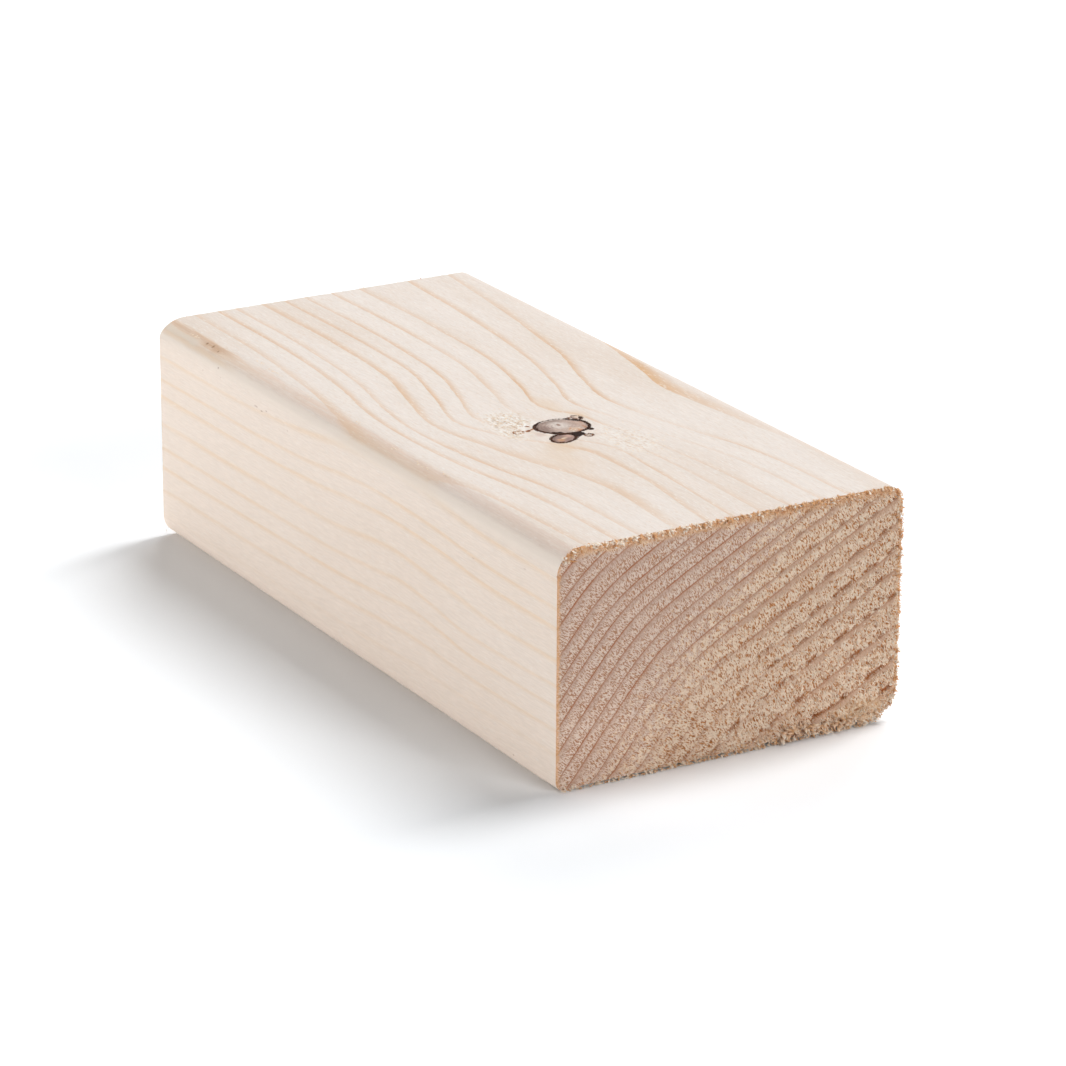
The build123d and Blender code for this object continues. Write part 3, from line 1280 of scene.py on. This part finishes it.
def latewood_amount(tree, where, on_left):
    """How far a planed face is shaded into its ring line, and how far the wood there is latewood."""
    ring = shifted(tree, stored(tree, "ring"), noise(tree, where, (0.03, 0.22, 0.22)), 0.16)
    ring = calc(tree, "SUBTRACT", ring, times(tree, stored(tree, "arris"), 0.1))
    phase = calc(tree, "FRACT", ring)
    rise = soften(tree, phase, calc(tree, "SUBTRACT", 1.0, stored(tree, "share")), 1.0)
    rise = calc(tree, "POWER", rise, 1.6)
    fall = soften(tree, phase, 0.0, times(tree, on_left, 0.12), 1.0, 0.0)
    rise = calc(tree, "MAXIMUM", rise, times(tree, fall, on_left))
    patchy = soften(tree, noise(tree, where, (0.03, 0.12, 0.12)), 0.35, 0.65, 0.7, 1.15)
    return times(tree, rise, stored(tree, "strength"), patchy), rise


def planed_wood():
    """Planed faces: pale wood, ring lines, streaks, the arris's stain, the tint round the knot, and painted
    light low on the left face and the arris.
    """
    material, tree, surface = new_material("planed_wood", 0.62, 0.3)
    where = millimetres(tree)
    on_left = calc(tree, "SUBTRACT", 1.0, stored(tree, "arris"))
    amount, rise = latewood_amount(tree, where, on_left)
    broad = noise(tree, where, (0.015, 0.06, 0.06), 3)
    streaks = noise(tree, where, (0.3, 4.5, 4.5), 3, 0.6)
    flecks = noise(tree, where, (0.7, 4.2, 4.2), 1)
    colour = blend(tree, soften(tree, broad, 0.4, 0.65), srgb(242, 231, 222), srgb(237, 223, 211))
    colour = tinted(tree, colour, (239, 223, 209), on_left, 0.7)
    # Painted light: the left face is made lighter towards its bottom, where less light reaches it.
    painted_light_low_left = times(tree, on_left, soften(tree, tree_axis(tree, where, "Z"), 0.0, 26.0, 0.5, 0.0))
    colour = tinted(tree, colour, (252, 235, 220), painted_light_low_left)
    line = blend(tree, on_left, srgb(226, 184, 140), srgb(234, 200, 158))
    colour = blend(tree, amount, colour, line)
    colour = toned(tree, colour, soften(tree, streaks, 0.3, 0.7, 0.95, 1.03))
    on_top_only = soften(tree, on_left, 0.0, 1.0, 1.0, 0.35)
    pale = times(tree, soften(tree, flecks, 0.6, 0.74, 0.0, 0.6), on_top_only)
    colour = tinted(tree, colour, (250, 245, 239), pale)
    dull = times(tree, soften(tree, flecks, 0.28, 0.42, 0.3, 0.0), on_top_only)
    colour = tinted(tree, colour, (222, 196, 170), dull)
    colour = arris_stain(tree, where, colour)
    colour = side_specks(tree, where, colour)
    colour = knot_tint(tree, where, colour)
    feed(tree, surface.inputs["Base Color"], colour)
    height = calc(tree, "SUBTRACT", streaks, times(tree, rise, 0.3))
    feed(tree, surface.inputs["Normal"], bump(tree, height, 0.05))
    return material


# Stains along the top left arris: limits of the station and of the turn round the arris, strength, colour,
# and whether it is broken up
ARRIS_STAINS = (
    ((-6.0, 4.0, 22.0, 36.0), (0.25, 0.4, 0.44, 0.56), 0.35, (232, 196, 152), False),
    ((-8.0, 3.0, 22.0, 34.0), (0.62, 0.72, 0.76, 0.86), 0.32, (200, 150, 100), False),
    ((14.0, 18.0, 22.0, 28.0), (0.5, 0.66, 0.78, 0.86), 0.38, (190, 140, 92), True),
    ((-9.0, -4.0, 13.0, 16.0), (0.4, 0.5, 0.6, 0.68), 0.7, (236, 223, 208), False),
)


def arris_stain(tree, where, colour):
    """The top left arris: tan weathered wood over a strip of painted light low on the round, brown with an
    orange fringe near the back.
    """
    station = calc(tree, "ADD", tree_axis(tree, where, "X"), HALF_LENGTH)
    ragged = noise(tree, where, (0.12, 1.0, 1.0), 4, 0.65)
    streaks = noise(tree, where, (0.1, 2.6, 2.6), 3, 0.6)
    turn = calc(tree, "ADD", stored(tree, "arris"), soften(tree, station, 0.0, LENGTH, 0.07, 0.0))
    # Painted light: a pale strip low on the round of the arris lifts the shade that falls there.
    pale = window(tree, turn, 0.02, 0.22, 0.36, 0.5)
    colour = tinted(tree, colour, (252, 239, 226), pale, 0.75)
    turn = shifted(tree, turn, ragged, 0.22)
    below = soften(tree, turn, 0.78, 0.9, 1.0, 0.0)
    core = soften(tree, turn, 0.36, 0.66, 0.0, 0.27)
    streaky = soften(tree, streaks, 0.34, 0.6, 0.55, 1.3)
    tan = blend(tree, soften(tree, station, 20.0, 48.0), srgb(230, 184, 130), srgb(229, 189, 158))
    tan = blend(tree, soften(tree, station, 100.0, 130.0), tan, srgb(220, 188, 170))
    colour = blend(tree, times(tree, core, below, streaky), colour, tan)
    for along, around, strength, tint, broken in ARRIS_STAINS:
        stain = times(tree, window(tree, station, *along), window(tree, turn, *around))
        if broken:
            stain = times(tree, stain, soften(tree, ragged, 0.35, 0.6))
        colour = tinted(tree, colour, tint, stain, strength)
    return colour


# Small dark marks on the left face and its arris: station, depth below the top,
# half length, half height, strength
SPECKS = (
    (17.0, 0.75, 0.5, 0.25, 0.8),
    (19.6, 0.7, 0.6, 0.3, 0.9),
    (22.5, 0.9, 0.4, 0.2, 0.6),
    (26.5, 3.0, 0.5, 0.25, 0.7),
    (20.0, 5.2, 0.35, 0.25, 0.6),
    (28.0, 4.6, 0.3, 0.25, 0.5),
    (43.5, 6.2, 1.2, 0.3, 0.6),
    (46.0, 6.6, 0.8, 0.25, 0.7),
    (48.0, 6.0, 0.6, 0.25, 0.5),
    (57.0, 7.5, 0.4, 0.25, 0.5),
    (131.0, 10.9, 0.9, 0.2, 0.4),
    (150.0, 7.0, 0.8, 0.3, 0.3),
    (146.0, 44.8, 0.4, 0.3, 0.7),
)


def side_specks(tree, where, colour):
    """Dark specks on the left face."""
    ragged = noise(tree, where, (1.5, 3.0, 3.0), 3, 0.6)
    for station, depth, along, high, strength in SPECKS:
        middle = (station - HALF_LENGTH, -HALF_WIDTH + 1.5, THICKNESS - depth)
        mark = spot(tree, where, middle, (along, 3.0, high), 0.7, 0.9, ragged)
        colour = tinted(tree, colour, (150, 104, 74), mark, strength)
    return colour


# Tinted wood near the knot: middle by station and distance from the right face, radii, colour, strength
WARM_PATCHES = (
    ((111.5, 44.0), (6.0, 5.0), (230, 200, 166), 0.5),
    ((118.0, 48.0), (13.0, 6.0), (230, 200, 166), 0.35),
    ((88.0, 33.5), (8.0, 3.2), (230, 200, 166), 0.4),
    ((96.0, 31.5), (4.0, 3.0), (230, 200, 166), 0.45),
    ((103.0, 44.2), (2.0, 1.7), (214, 186, 172), 0.6),
)


def knot_tint(tree, where, colour):
    """Whitish torn wood with tan hollows, partly painted shade, and tinted wood, near the knot."""
    ragged = noise(tree, where, (0.35, 0.5, 0.5), 4, 0.6)
    grains = noise(tree, where, (1.0, 1.9, 1.9), 3, 0.65)
    for place, (along, across), strength in TORN_PATCHES:
        torn = spot(tree, where, on_top(*place), (along, across, 2.0), 0.7, 0.7, ragged)
        colour = tinted(tree, colour, (248, 240, 231), torn, 0.5 * strength)
        light = soften(tree, grains, 0.5, 0.6, 0.0, strength)
        colour = tinted(tree, colour, (255, 252, 245), torn, light)
        # The tan hollows between the light flecks are painted shade, partly the torn wood's own colour.
        hollow = soften(tree, grains, 0.36, 0.46, 0.8 * strength, 0.0)
        colour = tinted(tree, colour, (204, 162, 110), torn, hollow)
    for place, radii, tint, strength in WARM_PATCHES:
        warm = spot(tree, where, on_top(*place), (*radii, 2.0), 0.9, 0.5, ragged)
        colour = tinted(tree, colour, tint, warm, strength)
    return colour


def fibre_strokes(tree, where, slope, factors):
    """Noise in short strokes across rings of a slope. Factors are for along the stud, the ring and across."""
    turned = tree.nodes.new("ShaderNodeVectorRotate")
    turned.rotation_type = "X_AXIS"
    feed(tree, turned.inputs["Vector"], where)
    turned.inputs["Angle"].default_value = -slope
    return noise(tree, turned.outputs[0], factors, 1, 0.5)


def sawn_wood():
    """Sawn ends: torn earlywood with painted shade in its gaps and pits, smooth pinkish latewood, an
    orange-brown line at each ring's edge, and painted light low at the sides.
    """
    material, tree, surface = new_material("sawn_wood", 0.85, 0.15)
    where = millimetres(tree)
    phase = calc(tree, "FRACT", stored(tree, "ring"))
    coarse = soften(tree, stored(tree, "coarse"), 0.35, 0.85)
    grit = noise(tree, where, (1.0, 3.4, 3.4), 2, 0.6)
    clumps = noise(tree, where, (0.3, 0.8, 0.8), 2)
    fine = strokes_of_size(tree, where, 5.6, 1.9)
    large = shifted(tree, strokes_of_size(tree, where, 3.8, 1.6), clumps, 0.25)
    # The dark gaps between the light strokes of torn wood are partly its own colour and partly painted shade
    # between the fibres.
    fine_wood = blend(tree, soften(tree, fine, 0.38, 0.58), srgb(182, 132, 100), srgb(231, 211, 197))
    gaps = blend(tree, soften(tree, grit, 0.35, 0.65), srgb(160, 94, 42), srgb(204, 146, 96))
    coarse_wood = blend(tree, soften(tree, large, 0.36, 0.54), gaps, srgb(240, 218, 196))
    mixed = soften(tree, shifted(tree, coarse, clumps, 1.2), 0.4, 0.6)
    torn = blend(tree, mixed, fine_wood, coarse_wood)
    # Pits are painted dark orange-brown, as the shade in these hollows.
    torn = blend(tree, times(tree, stored(tree, "pits"), 0.85), torn, srgb(150, 84, 34))
    pink = blend(tree, soften(tree, fine, 0.34, 0.66), srgb(190, 158, 141), srgb(211, 185, 170))
    tan = blend(tree, soften(tree, fine, 0.34, 0.66), srgb(192, 156, 132), srgb(212, 180, 157))
    colour = blend(tree, times(tree, stored(tree, "band"), 0.95), torn, blend(tree, coarse, pink, tan))
    edge = shifted(tree, phase, noise(tree, where, (0.3, 0.6, 0.6), 2), 0.05)
    strong = soften(tree, noise(tree, where, (0.05, 0.14, 0.14), 2), 0.35, 0.65, 0.55, 1.0)
    strong = times(tree, strong, soften(tree, coarse, 0.1, 1.0, 1.0, 0.5))
    dull = spot(tree, where, (HALF_LENGTH, -2.0, 11.0), (6.0, 24.0, 15.0), 0.9)
    strong = times(tree, strong, soften(tree, dull, 0.0, 1.0, 1.0, 0.5))
    shading = soften(tree, edge, 0.7, 0.99, 0.0, 0.3)
    colour = tinted(tree, colour, (186, 130, 92), shading, strong)
    line = soften(tree, edge, soften(tree, coarse, 0.0, 1.0, 0.87, 0.92), 0.985, 0.0, 0.9)
    colour = tinted(tree, colour, (166, 92, 48), line, strong)
    # Painted light: the end is made lighter low at its left and low at its right.
    for aside, tone in ((-30.0, 1.1), (26.0, 1.08)):
        low = spot(tree, where, (HALF_LENGTH, aside, 4.0), (6.0, 26.0, 24.0), 0.9)
        colour = toned(tree, colour, soften(tree, low, 0.0, 1.0, 1.0, tone))
    colour = sawn_edges(tree, where, grit, colour)
    feed(tree, surface.inputs["Base Color"], colour)
    height = blend(tree, coarse, times(tree, fine, 0.5), large)
    height = times(tree, height, soften(tree, stored(tree, "band"), 0.0, 1.0, 1.0, 0.25))
    feed(tree, surface.inputs["Normal"], bump(tree, height, 0.3))
    return material


def strokes_of_size(tree, where, along, across):
    """Fibre strokes across the rings on either side of their bend. Sizes are features to a millimetre."""
    steep = fibre_strokes(tree, where, LEFT_RUN_ANGLE, (0.5, along, across))
    shallow = fibre_strokes(tree, where, RIGHT_RUN_ANGLE, (0.5, along, across))
    share = soften(tree, stored(tree, "bend"), 0.25, 0.75)
    steep = times(tree, steep, calc(tree, "SUBTRACT", 1.0, share))
    return calc(tree, "ADD", steep, times(tree, shallow, share))


# Torn places near the bottom right of the front end, as (sideways, upwards), radii, colour and strength: a
# cream patch of torn wood, then dark patches painted as the shade in torn holes
END_PATCHES_AND_HOLE_SHADE = (
    ((30.0, 2.5), (9.0, 4.0), (240, 210, 170), 0.35),
    ((19.2, 4.0), (1.3, 0.7), (134, 72, 28), 0.95),
    ((16.1, 2.9), (1.1, 0.6), (136, 76, 32), 0.95),
    ((12.6, 0.9), (1.0, 0.6), (116, 70, 36), 0.95),
    ((18.3, 5.2), (0.8, 0.3), (150, 88, 40), 0.8),
    ((25.5, 6.5), (0.8, 0.4), (142, 80, 34), 0.9),
    ((25.3, 1.8), (0.6, 0.4), (150, 92, 46), 0.8),
    ((28.5, 3.5), (1.0, 0.4), (150, 88, 40), 0.8),
    ((34.5, 6.3), (1.2, 0.4), (160, 84, 36), 0.8),
    ((32.0, 23.0), (0.8, 0.4), (140, 78, 34), 0.9),
)


def sawn_edges(tree, where, grit, colour):
    """Torn wood and painted shade in torn holes at the bottom, torn wood at the top of the front, and painted
    light through thin side edges.
    """
    for (aside, up), (across, rise), tint, strength in END_PATCHES_AND_HOLE_SHADE:
        patch = spot(tree, where, (HALF_LENGTH, aside, up), (6.0, across, rise), 0.6, 0.8, grit)
        colour = tinted(tree, colour, tint, patch, strength)
    # Painted light: the thin right edge is coloured orange and cream for light shining through it.
    aside = shifted(tree, tree_axis(tree, where, "Y"), grit, 1.6)
    right = soften(tree, aside, HALF_WIDTH - 1.5, HALF_WIDTH - 0.2, 0.0, 0.85)
    lit = blend(tree, soften(tree, grit, 0.4, 0.6), srgb(236, 166, 92), srgb(250, 234, 212))
    colour = blend(tree, right, colour, lit)
    upward = shifted(tree, tree_axis(tree, where, "Z"), grit, 2.0)
    top = soften(tree, upward, THICKNESS - 2.4, THICKNESS - 0.7, 0.0, 0.9)
    at_front = soften(tree, tree_axis(tree, where, "X"), 0.0, 1.0)
    torn = blend(tree, soften(tree, grit, 0.35, 0.6), srgb(202, 134, 82), srgb(232, 196, 158))
    colour = blend(tree, times(tree, top, at_front), colour, torn)
    # Painted light: the thin left edge is tinted orange for light shining through it.
    left = soften(tree, aside, 0.2 - HALF_WIDTH, 1.0 - HALF_WIDTH, 0.7, 0.0)
    return tinted(tree, colour, (240, 188, 138), left)


def torn_fibre():
    """Slivers of torn wood, from brown to cream by the shade stored on each, some orange, partly their own
    colour and partly painted light through them.
    """
    material, tree, surface = new_material("torn_fibre", 0.8, 0.2)
    colour = ramp(tree, calc(tree, "DIVIDE", stored(tree, "shade"), 1.4), (
        (0.0, srgb(176, 108, 52)),
        (0.32, srgb(220, 172, 124)),
        (0.65, srgb(244, 221, 196)),
        (1.0, srgb(255, 247, 234)),
    ))
    # The glow stored on each sliver paints light through thin fibres as orange, partly their own colour.
    colour = tinted(tree, colour, (224, 160, 104), stored(tree, "glow"), 0.85)
    feed(tree, surface.inputs["Base Color"], colour)
    return material


# Colours of the knot's hearts: middle by station and distance from the right face, radii, colour, strength
KNOT_TINTS = (
    ((100.4, 42.2), (5.0, 2.6), (142, 114, 102), 0.85),
    ((97.3, 38.5), (1.7, 4.5), (150, 126, 114), 0.85),
    ((99.9, 38.2), (3.4, 2.8), (228, 216, 207), 0.8),
    ((100.2, 34.2), (3.2, 1.5), (200, 166, 146), 0.6),
    ((100.0, 33.3), (1.0, 0.5), (206, 150, 110), 0.7),
    ((103.4, 36.6), (1.4, 2.0), (226, 196, 166), 0.7),
    ((102.9, 34.1), (1.7, 0.6), (190, 122, 78), 0.8),
    ((104.3, 35.7), (0.6, 1.6), (190, 118, 72), 0.85),
    ((105.0, 37.9), (0.7, 0.8), (96, 52, 36), 0.95),
    ((104.0, 40.6), (1.2, 1.4), (138, 106, 92), 0.8),
    ((106.4, 39.9), (1.3, 1.5), (206, 164, 146), 0.9),
    ((107.8, 42.3), (1.2, 1.2), (206, 152, 112), 0.9),
    ((107.2, 41.4), (0.5, 0.9), (240, 214, 182), 0.85),
    ((105.2, 41.2), (0.5, 1.7), (92, 60, 48), 0.85),
    ((108.9, 40.2), (0.6, 1.6), (116, 82, 70), 0.9),
    ((109.2, 42.9), (0.7, 0.9), (110, 58, 38), 0.95),
    ((107.8, 36.1), (0.7, 0.7), (226, 208, 188), 0.9),
    ((97.2, 32.6), (1.3, 0.9), (230, 208, 186), 0.9),
)


def knot_wood():
    """Hearts of the knot: pale at the pith, grey-brown and cracked below, cream and orange on the right."""
    material, tree, surface = new_material("knot_wood", 0.6)
    where = millimetres(tree)
    grain = noise(tree, where, (1.8, 1.8, 1.8), 4, 0.6)
    crumbly = noise(tree, where, (0.8, 0.8, 0.8), 4, 0.65)
    fine = shifted(tree, stored(tree, "heart"), grain, 0.12)
    colour = blend(tree, soften(tree, grain, 0.35, 0.65), srgb(184, 157, 143), srgb(205, 181, 167))
    on_second = window(tree, stored(tree, "kind"), 0.4, 0.9, 1.1, 1.6)
    colour = tinted(tree, colour, (150, 116, 104), on_second, 0.9)
    for place, radii, tint, strength in KNOT_TINTS:
        patch = spot(tree, where, on_top(*place), (*radii, 3.0), 0.8, 0.7, crumbly)
        colour = tinted(tree, colour, tint, patch, strength)
    rings = calc(tree, "SINE", times(tree, fine, 52.0))
    below = spot(tree, where, on_top(99.5, 42.0), (5.5, 4.0, 3.0), 0.8)
    cracks = times(tree, soften(tree, rings, 0.2, 1.0, 0.0, 0.5), soften(tree, below, 0.0, 1.0, 0.3, 1.0))
    colour = tinted(tree, colour, (118, 86, 72), cracks)
    ragged = spot(tree, where, on_top(103.4, 36.4), (2.4, 3.0, 3.0), 0.7)
    orange = times(tree, ragged, soften(tree, grain, 0.54, 0.62, 0.0, 0.7))
    colour = tinted(tree, colour, (206, 146, 100), orange)
    pale = times(tree, ragged, soften(tree, grain, 0.36, 0.44, 0.8, 0.0))
    colour = tinted(tree, colour, (246, 232, 214), pale)
    rim = soften(tree, shifted(tree, stored(tree, "heart"), crumbly, 0.3), 0.86, 1.0, 0.0, 0.75)
    on_left = spot(tree, where, on_top(96.0, 37.5), (1.6, 4.2, 3.0), 0.8)
    rim = times(tree, rim, soften(tree, on_left, 0.0, 0.8, 1.0, 0.2))
    colour = tinted(tree, colour, (104, 68, 50), rim)
    centre = spot(tree, where, on_top(*PITH_PLACE), (0.8, 0.6, 3.0), 0.7, 0.5, grain)
    colour = tinted(tree, colour, (142, 98, 72), centre, 0.85)
    feed(tree, surface.inputs["Base Color"], colour)
    feed(tree, surface.inputs["Normal"], bump(tree, grain, 0.15))
    return material


def knot_bark():
    """Crumbs of bark, mostly dark, with some orange and pale ones."""
    material, tree, surface = new_material("knot_bark", 0.8, 0.2)
    where = millimetres(tree)
    shade = shifted(tree, stored(tree, "shade"), noise(tree, where, (2.5, 2.5, 2.5), 3), 0.35)
    colour = ramp(tree, shade, (
        (0.0, srgb(48, 32, 27)),
        (0.4, srgb(88, 60, 47)),
        (0.65, srgb(128, 84, 58)),
        (0.85, srgb(186, 128, 86)),
        (1.0, srgb(228, 196, 160)),
    ))
    feed(tree, surface.inputs["Base Color"], colour)
    return material


# Floor, light and camera

# The floor's colour in the light that it sends on, and as the camera sees it
FLOOR_COLOUR = (0.93, 0.93, 0.93, 1)
FLOOR_SEEN = (1.1, 1.13, 1.16, 1)
FLOOR_HALF_SIZE = 6.0


def build_floor():
    """A wide pale floor."""
    sheet = bmesh.new()
    bmesh.ops.create_grid(sheet, x_segments=1, y_segments=1, size=FLOOR_HALF_SIZE)
    mesh = mesh_from("floor", sheet)
    material, tree, surface = new_material("floor", 1.0, 0.0)
    path = tree.nodes.new("ShaderNodeLightPath")
    colour = blend(tree, path.outputs["Is Camera Ray"], FLOOR_COLOUR, FLOOR_SEEN)
    feed(tree, surface.inputs["Base Color"], colour)
    mesh.materials.append(material)
    add_object("floor", mesh)


# Level of the even light, and the level, direction and width in degrees of the soft light from the front
WORLD_LEVEL = 0.08
FRONT_LEVEL = 1.16
FRONT_FROM = (0.88, 0.2, 0.42)
FRONT_ANGLE = 30

# Panel lamps: power, place, and size lengthways and across
KEY_PANEL = (157.0, (-0.4, 2.48, 4.1), (1.3, 3.3))
REAR_PANEL = (54.0, (-2.6, 2.3, 2.9), (1.8, 1.8))
FILL_PANEL = (7.9, (-0.5, -1.1, 0.14), (0.7, 0.2))


def build_world():
    """Even light from all round, white where it is seen."""
    world = bpy.data.worlds.new("studio")
    bpy.context.scene.world = world
    world.use_nodes = True
    tree = world.node_tree
    tree.nodes.clear()
    output = tree.nodes.new("ShaderNodeOutputWorld")
    light = tree.nodes.new("ShaderNodeBackground")
    light.inputs["Strength"].default_value = WORLD_LEVEL
    seen = tree.nodes.new("ShaderNodeBackground")
    path = tree.nodes.new("ShaderNodeLightPath")
    mix = tree.nodes.new("ShaderNodeMixShader")
    for shader in (light, seen):
        shader.inputs["Color"].default_value = (1, 1, 1, 1)
    tree.links.new(path.outputs["Is Camera Ray"], mix.inputs["Fac"])
    tree.links.new(light.outputs[0], mix.inputs[1])
    tree.links.new(seen.outputs[0], mix.inputs[2])
    tree.links.new(mix.outputs[0], output.inputs["Surface"])


def build_sun(name, level, come_from, angle):
    """A soft far lamp."""
    lamp = bpy.data.lights.new(name, "SUN")
    lamp.energy = level
    lamp.angle = math.radians(angle)
    add_object(name, lamp).rotation_euler = Vector(come_from).to_track_quat("Z", "Y").to_euler()


def build_panel(name, power, place, size):
    """A panel lamp that faces the stud."""
    lamp = bpy.data.lights.new(name, "AREA")
    lamp.shape = "RECTANGLE"
    lamp.size, lamp.size_y = size
    lamp.energy = power
    panel = add_object(name, lamp)
    panel.location = place
    aim = Vector((0, 0, THICKNESS / 2 * MM)) - panel.location
    panel.rotation_euler = aim.to_track_quat("-Z", "Y").to_euler()


# The camera, in degrees and millimetres, as fitted to the corners and edges of the stud
CAMERA_AZIMUTH = 59.5131
CAMERA_ELEVATION = 19.6607
CAMERA_ROLL = 0.2864
CAMERA_DISTANCE = 928.427
CAMERA_ASIDE = 4.2083
CAMERA_RISE = -4.394
CAMERA_LENS = 158.218


def build_camera():
    """The camera fitted to the photo, square on to the middle of the picture."""
    azimuth = math.radians(CAMERA_AZIMUTH)
    elevation = math.radians(CAMERA_ELEVATION)
    back = Vector((
        math.sin(azimuth) * math.cos(elevation),
        -math.cos(azimuth) * math.cos(elevation),
        math.sin(elevation),
    ))
    level_right = (-back).cross(Vector((0, 0, 1))).normalized()
    level_up = level_right.cross(-back)
    roll = math.radians(CAMERA_ROLL)
    right = level_right * math.cos(roll) + level_up * math.sin(roll)
    up = level_up * math.cos(roll) - level_right * math.sin(roll)
    place = Vector((0, 0, THICKNESS / 2)) + back * CAMERA_DISTANCE + right * CAMERA_ASIDE + up * CAMERA_RISE
    camera = bpy.data.cameras.new("camera")
    camera.sensor_width = 36.0
    camera.lens = CAMERA_LENS
    camera.clip_start = 0.01
    camera.clip_end = 50.0
    turn = Matrix((right, up, back)).transposed().to_4x4()
    stand = add_object("camera", camera)
    stand.matrix_world = Matrix.Translation(place * MM) @ turn
    bpy.context.scene.camera = stand


# Torn fibres of the sawn ends: the way that each end faces, fibres tried, seed
END_FIBRES = {
    "front_end_fibres": (1, 26000, 5),
    "back_end_fibres": (-1, 6000, 6),
}

# Put everything together

bpy.context.scene.view_settings.view_transform = "Standard"
fibre = torn_fibre()
build_body(planed_wood(), sawn_wood())
build_hearts(knot_wood())
build_bark(knot_bark())
for name, looks in END_FIBRES.items():
    build_end_fuzz(name, fibre, *looks)
build_rim_chips(fibre)
build_torn_chips(fibre)
build_face_fibres(fibre)
build_floor()
build_world()
build_sun("front", FRONT_LEVEL, FRONT_FROM, FRONT_ANGLE)
build_panel("key", *KEY_PANEL)
build_panel("rear", *REAR_PANEL)
build_panel("fill", *FILL_PANEL)
build_camera()
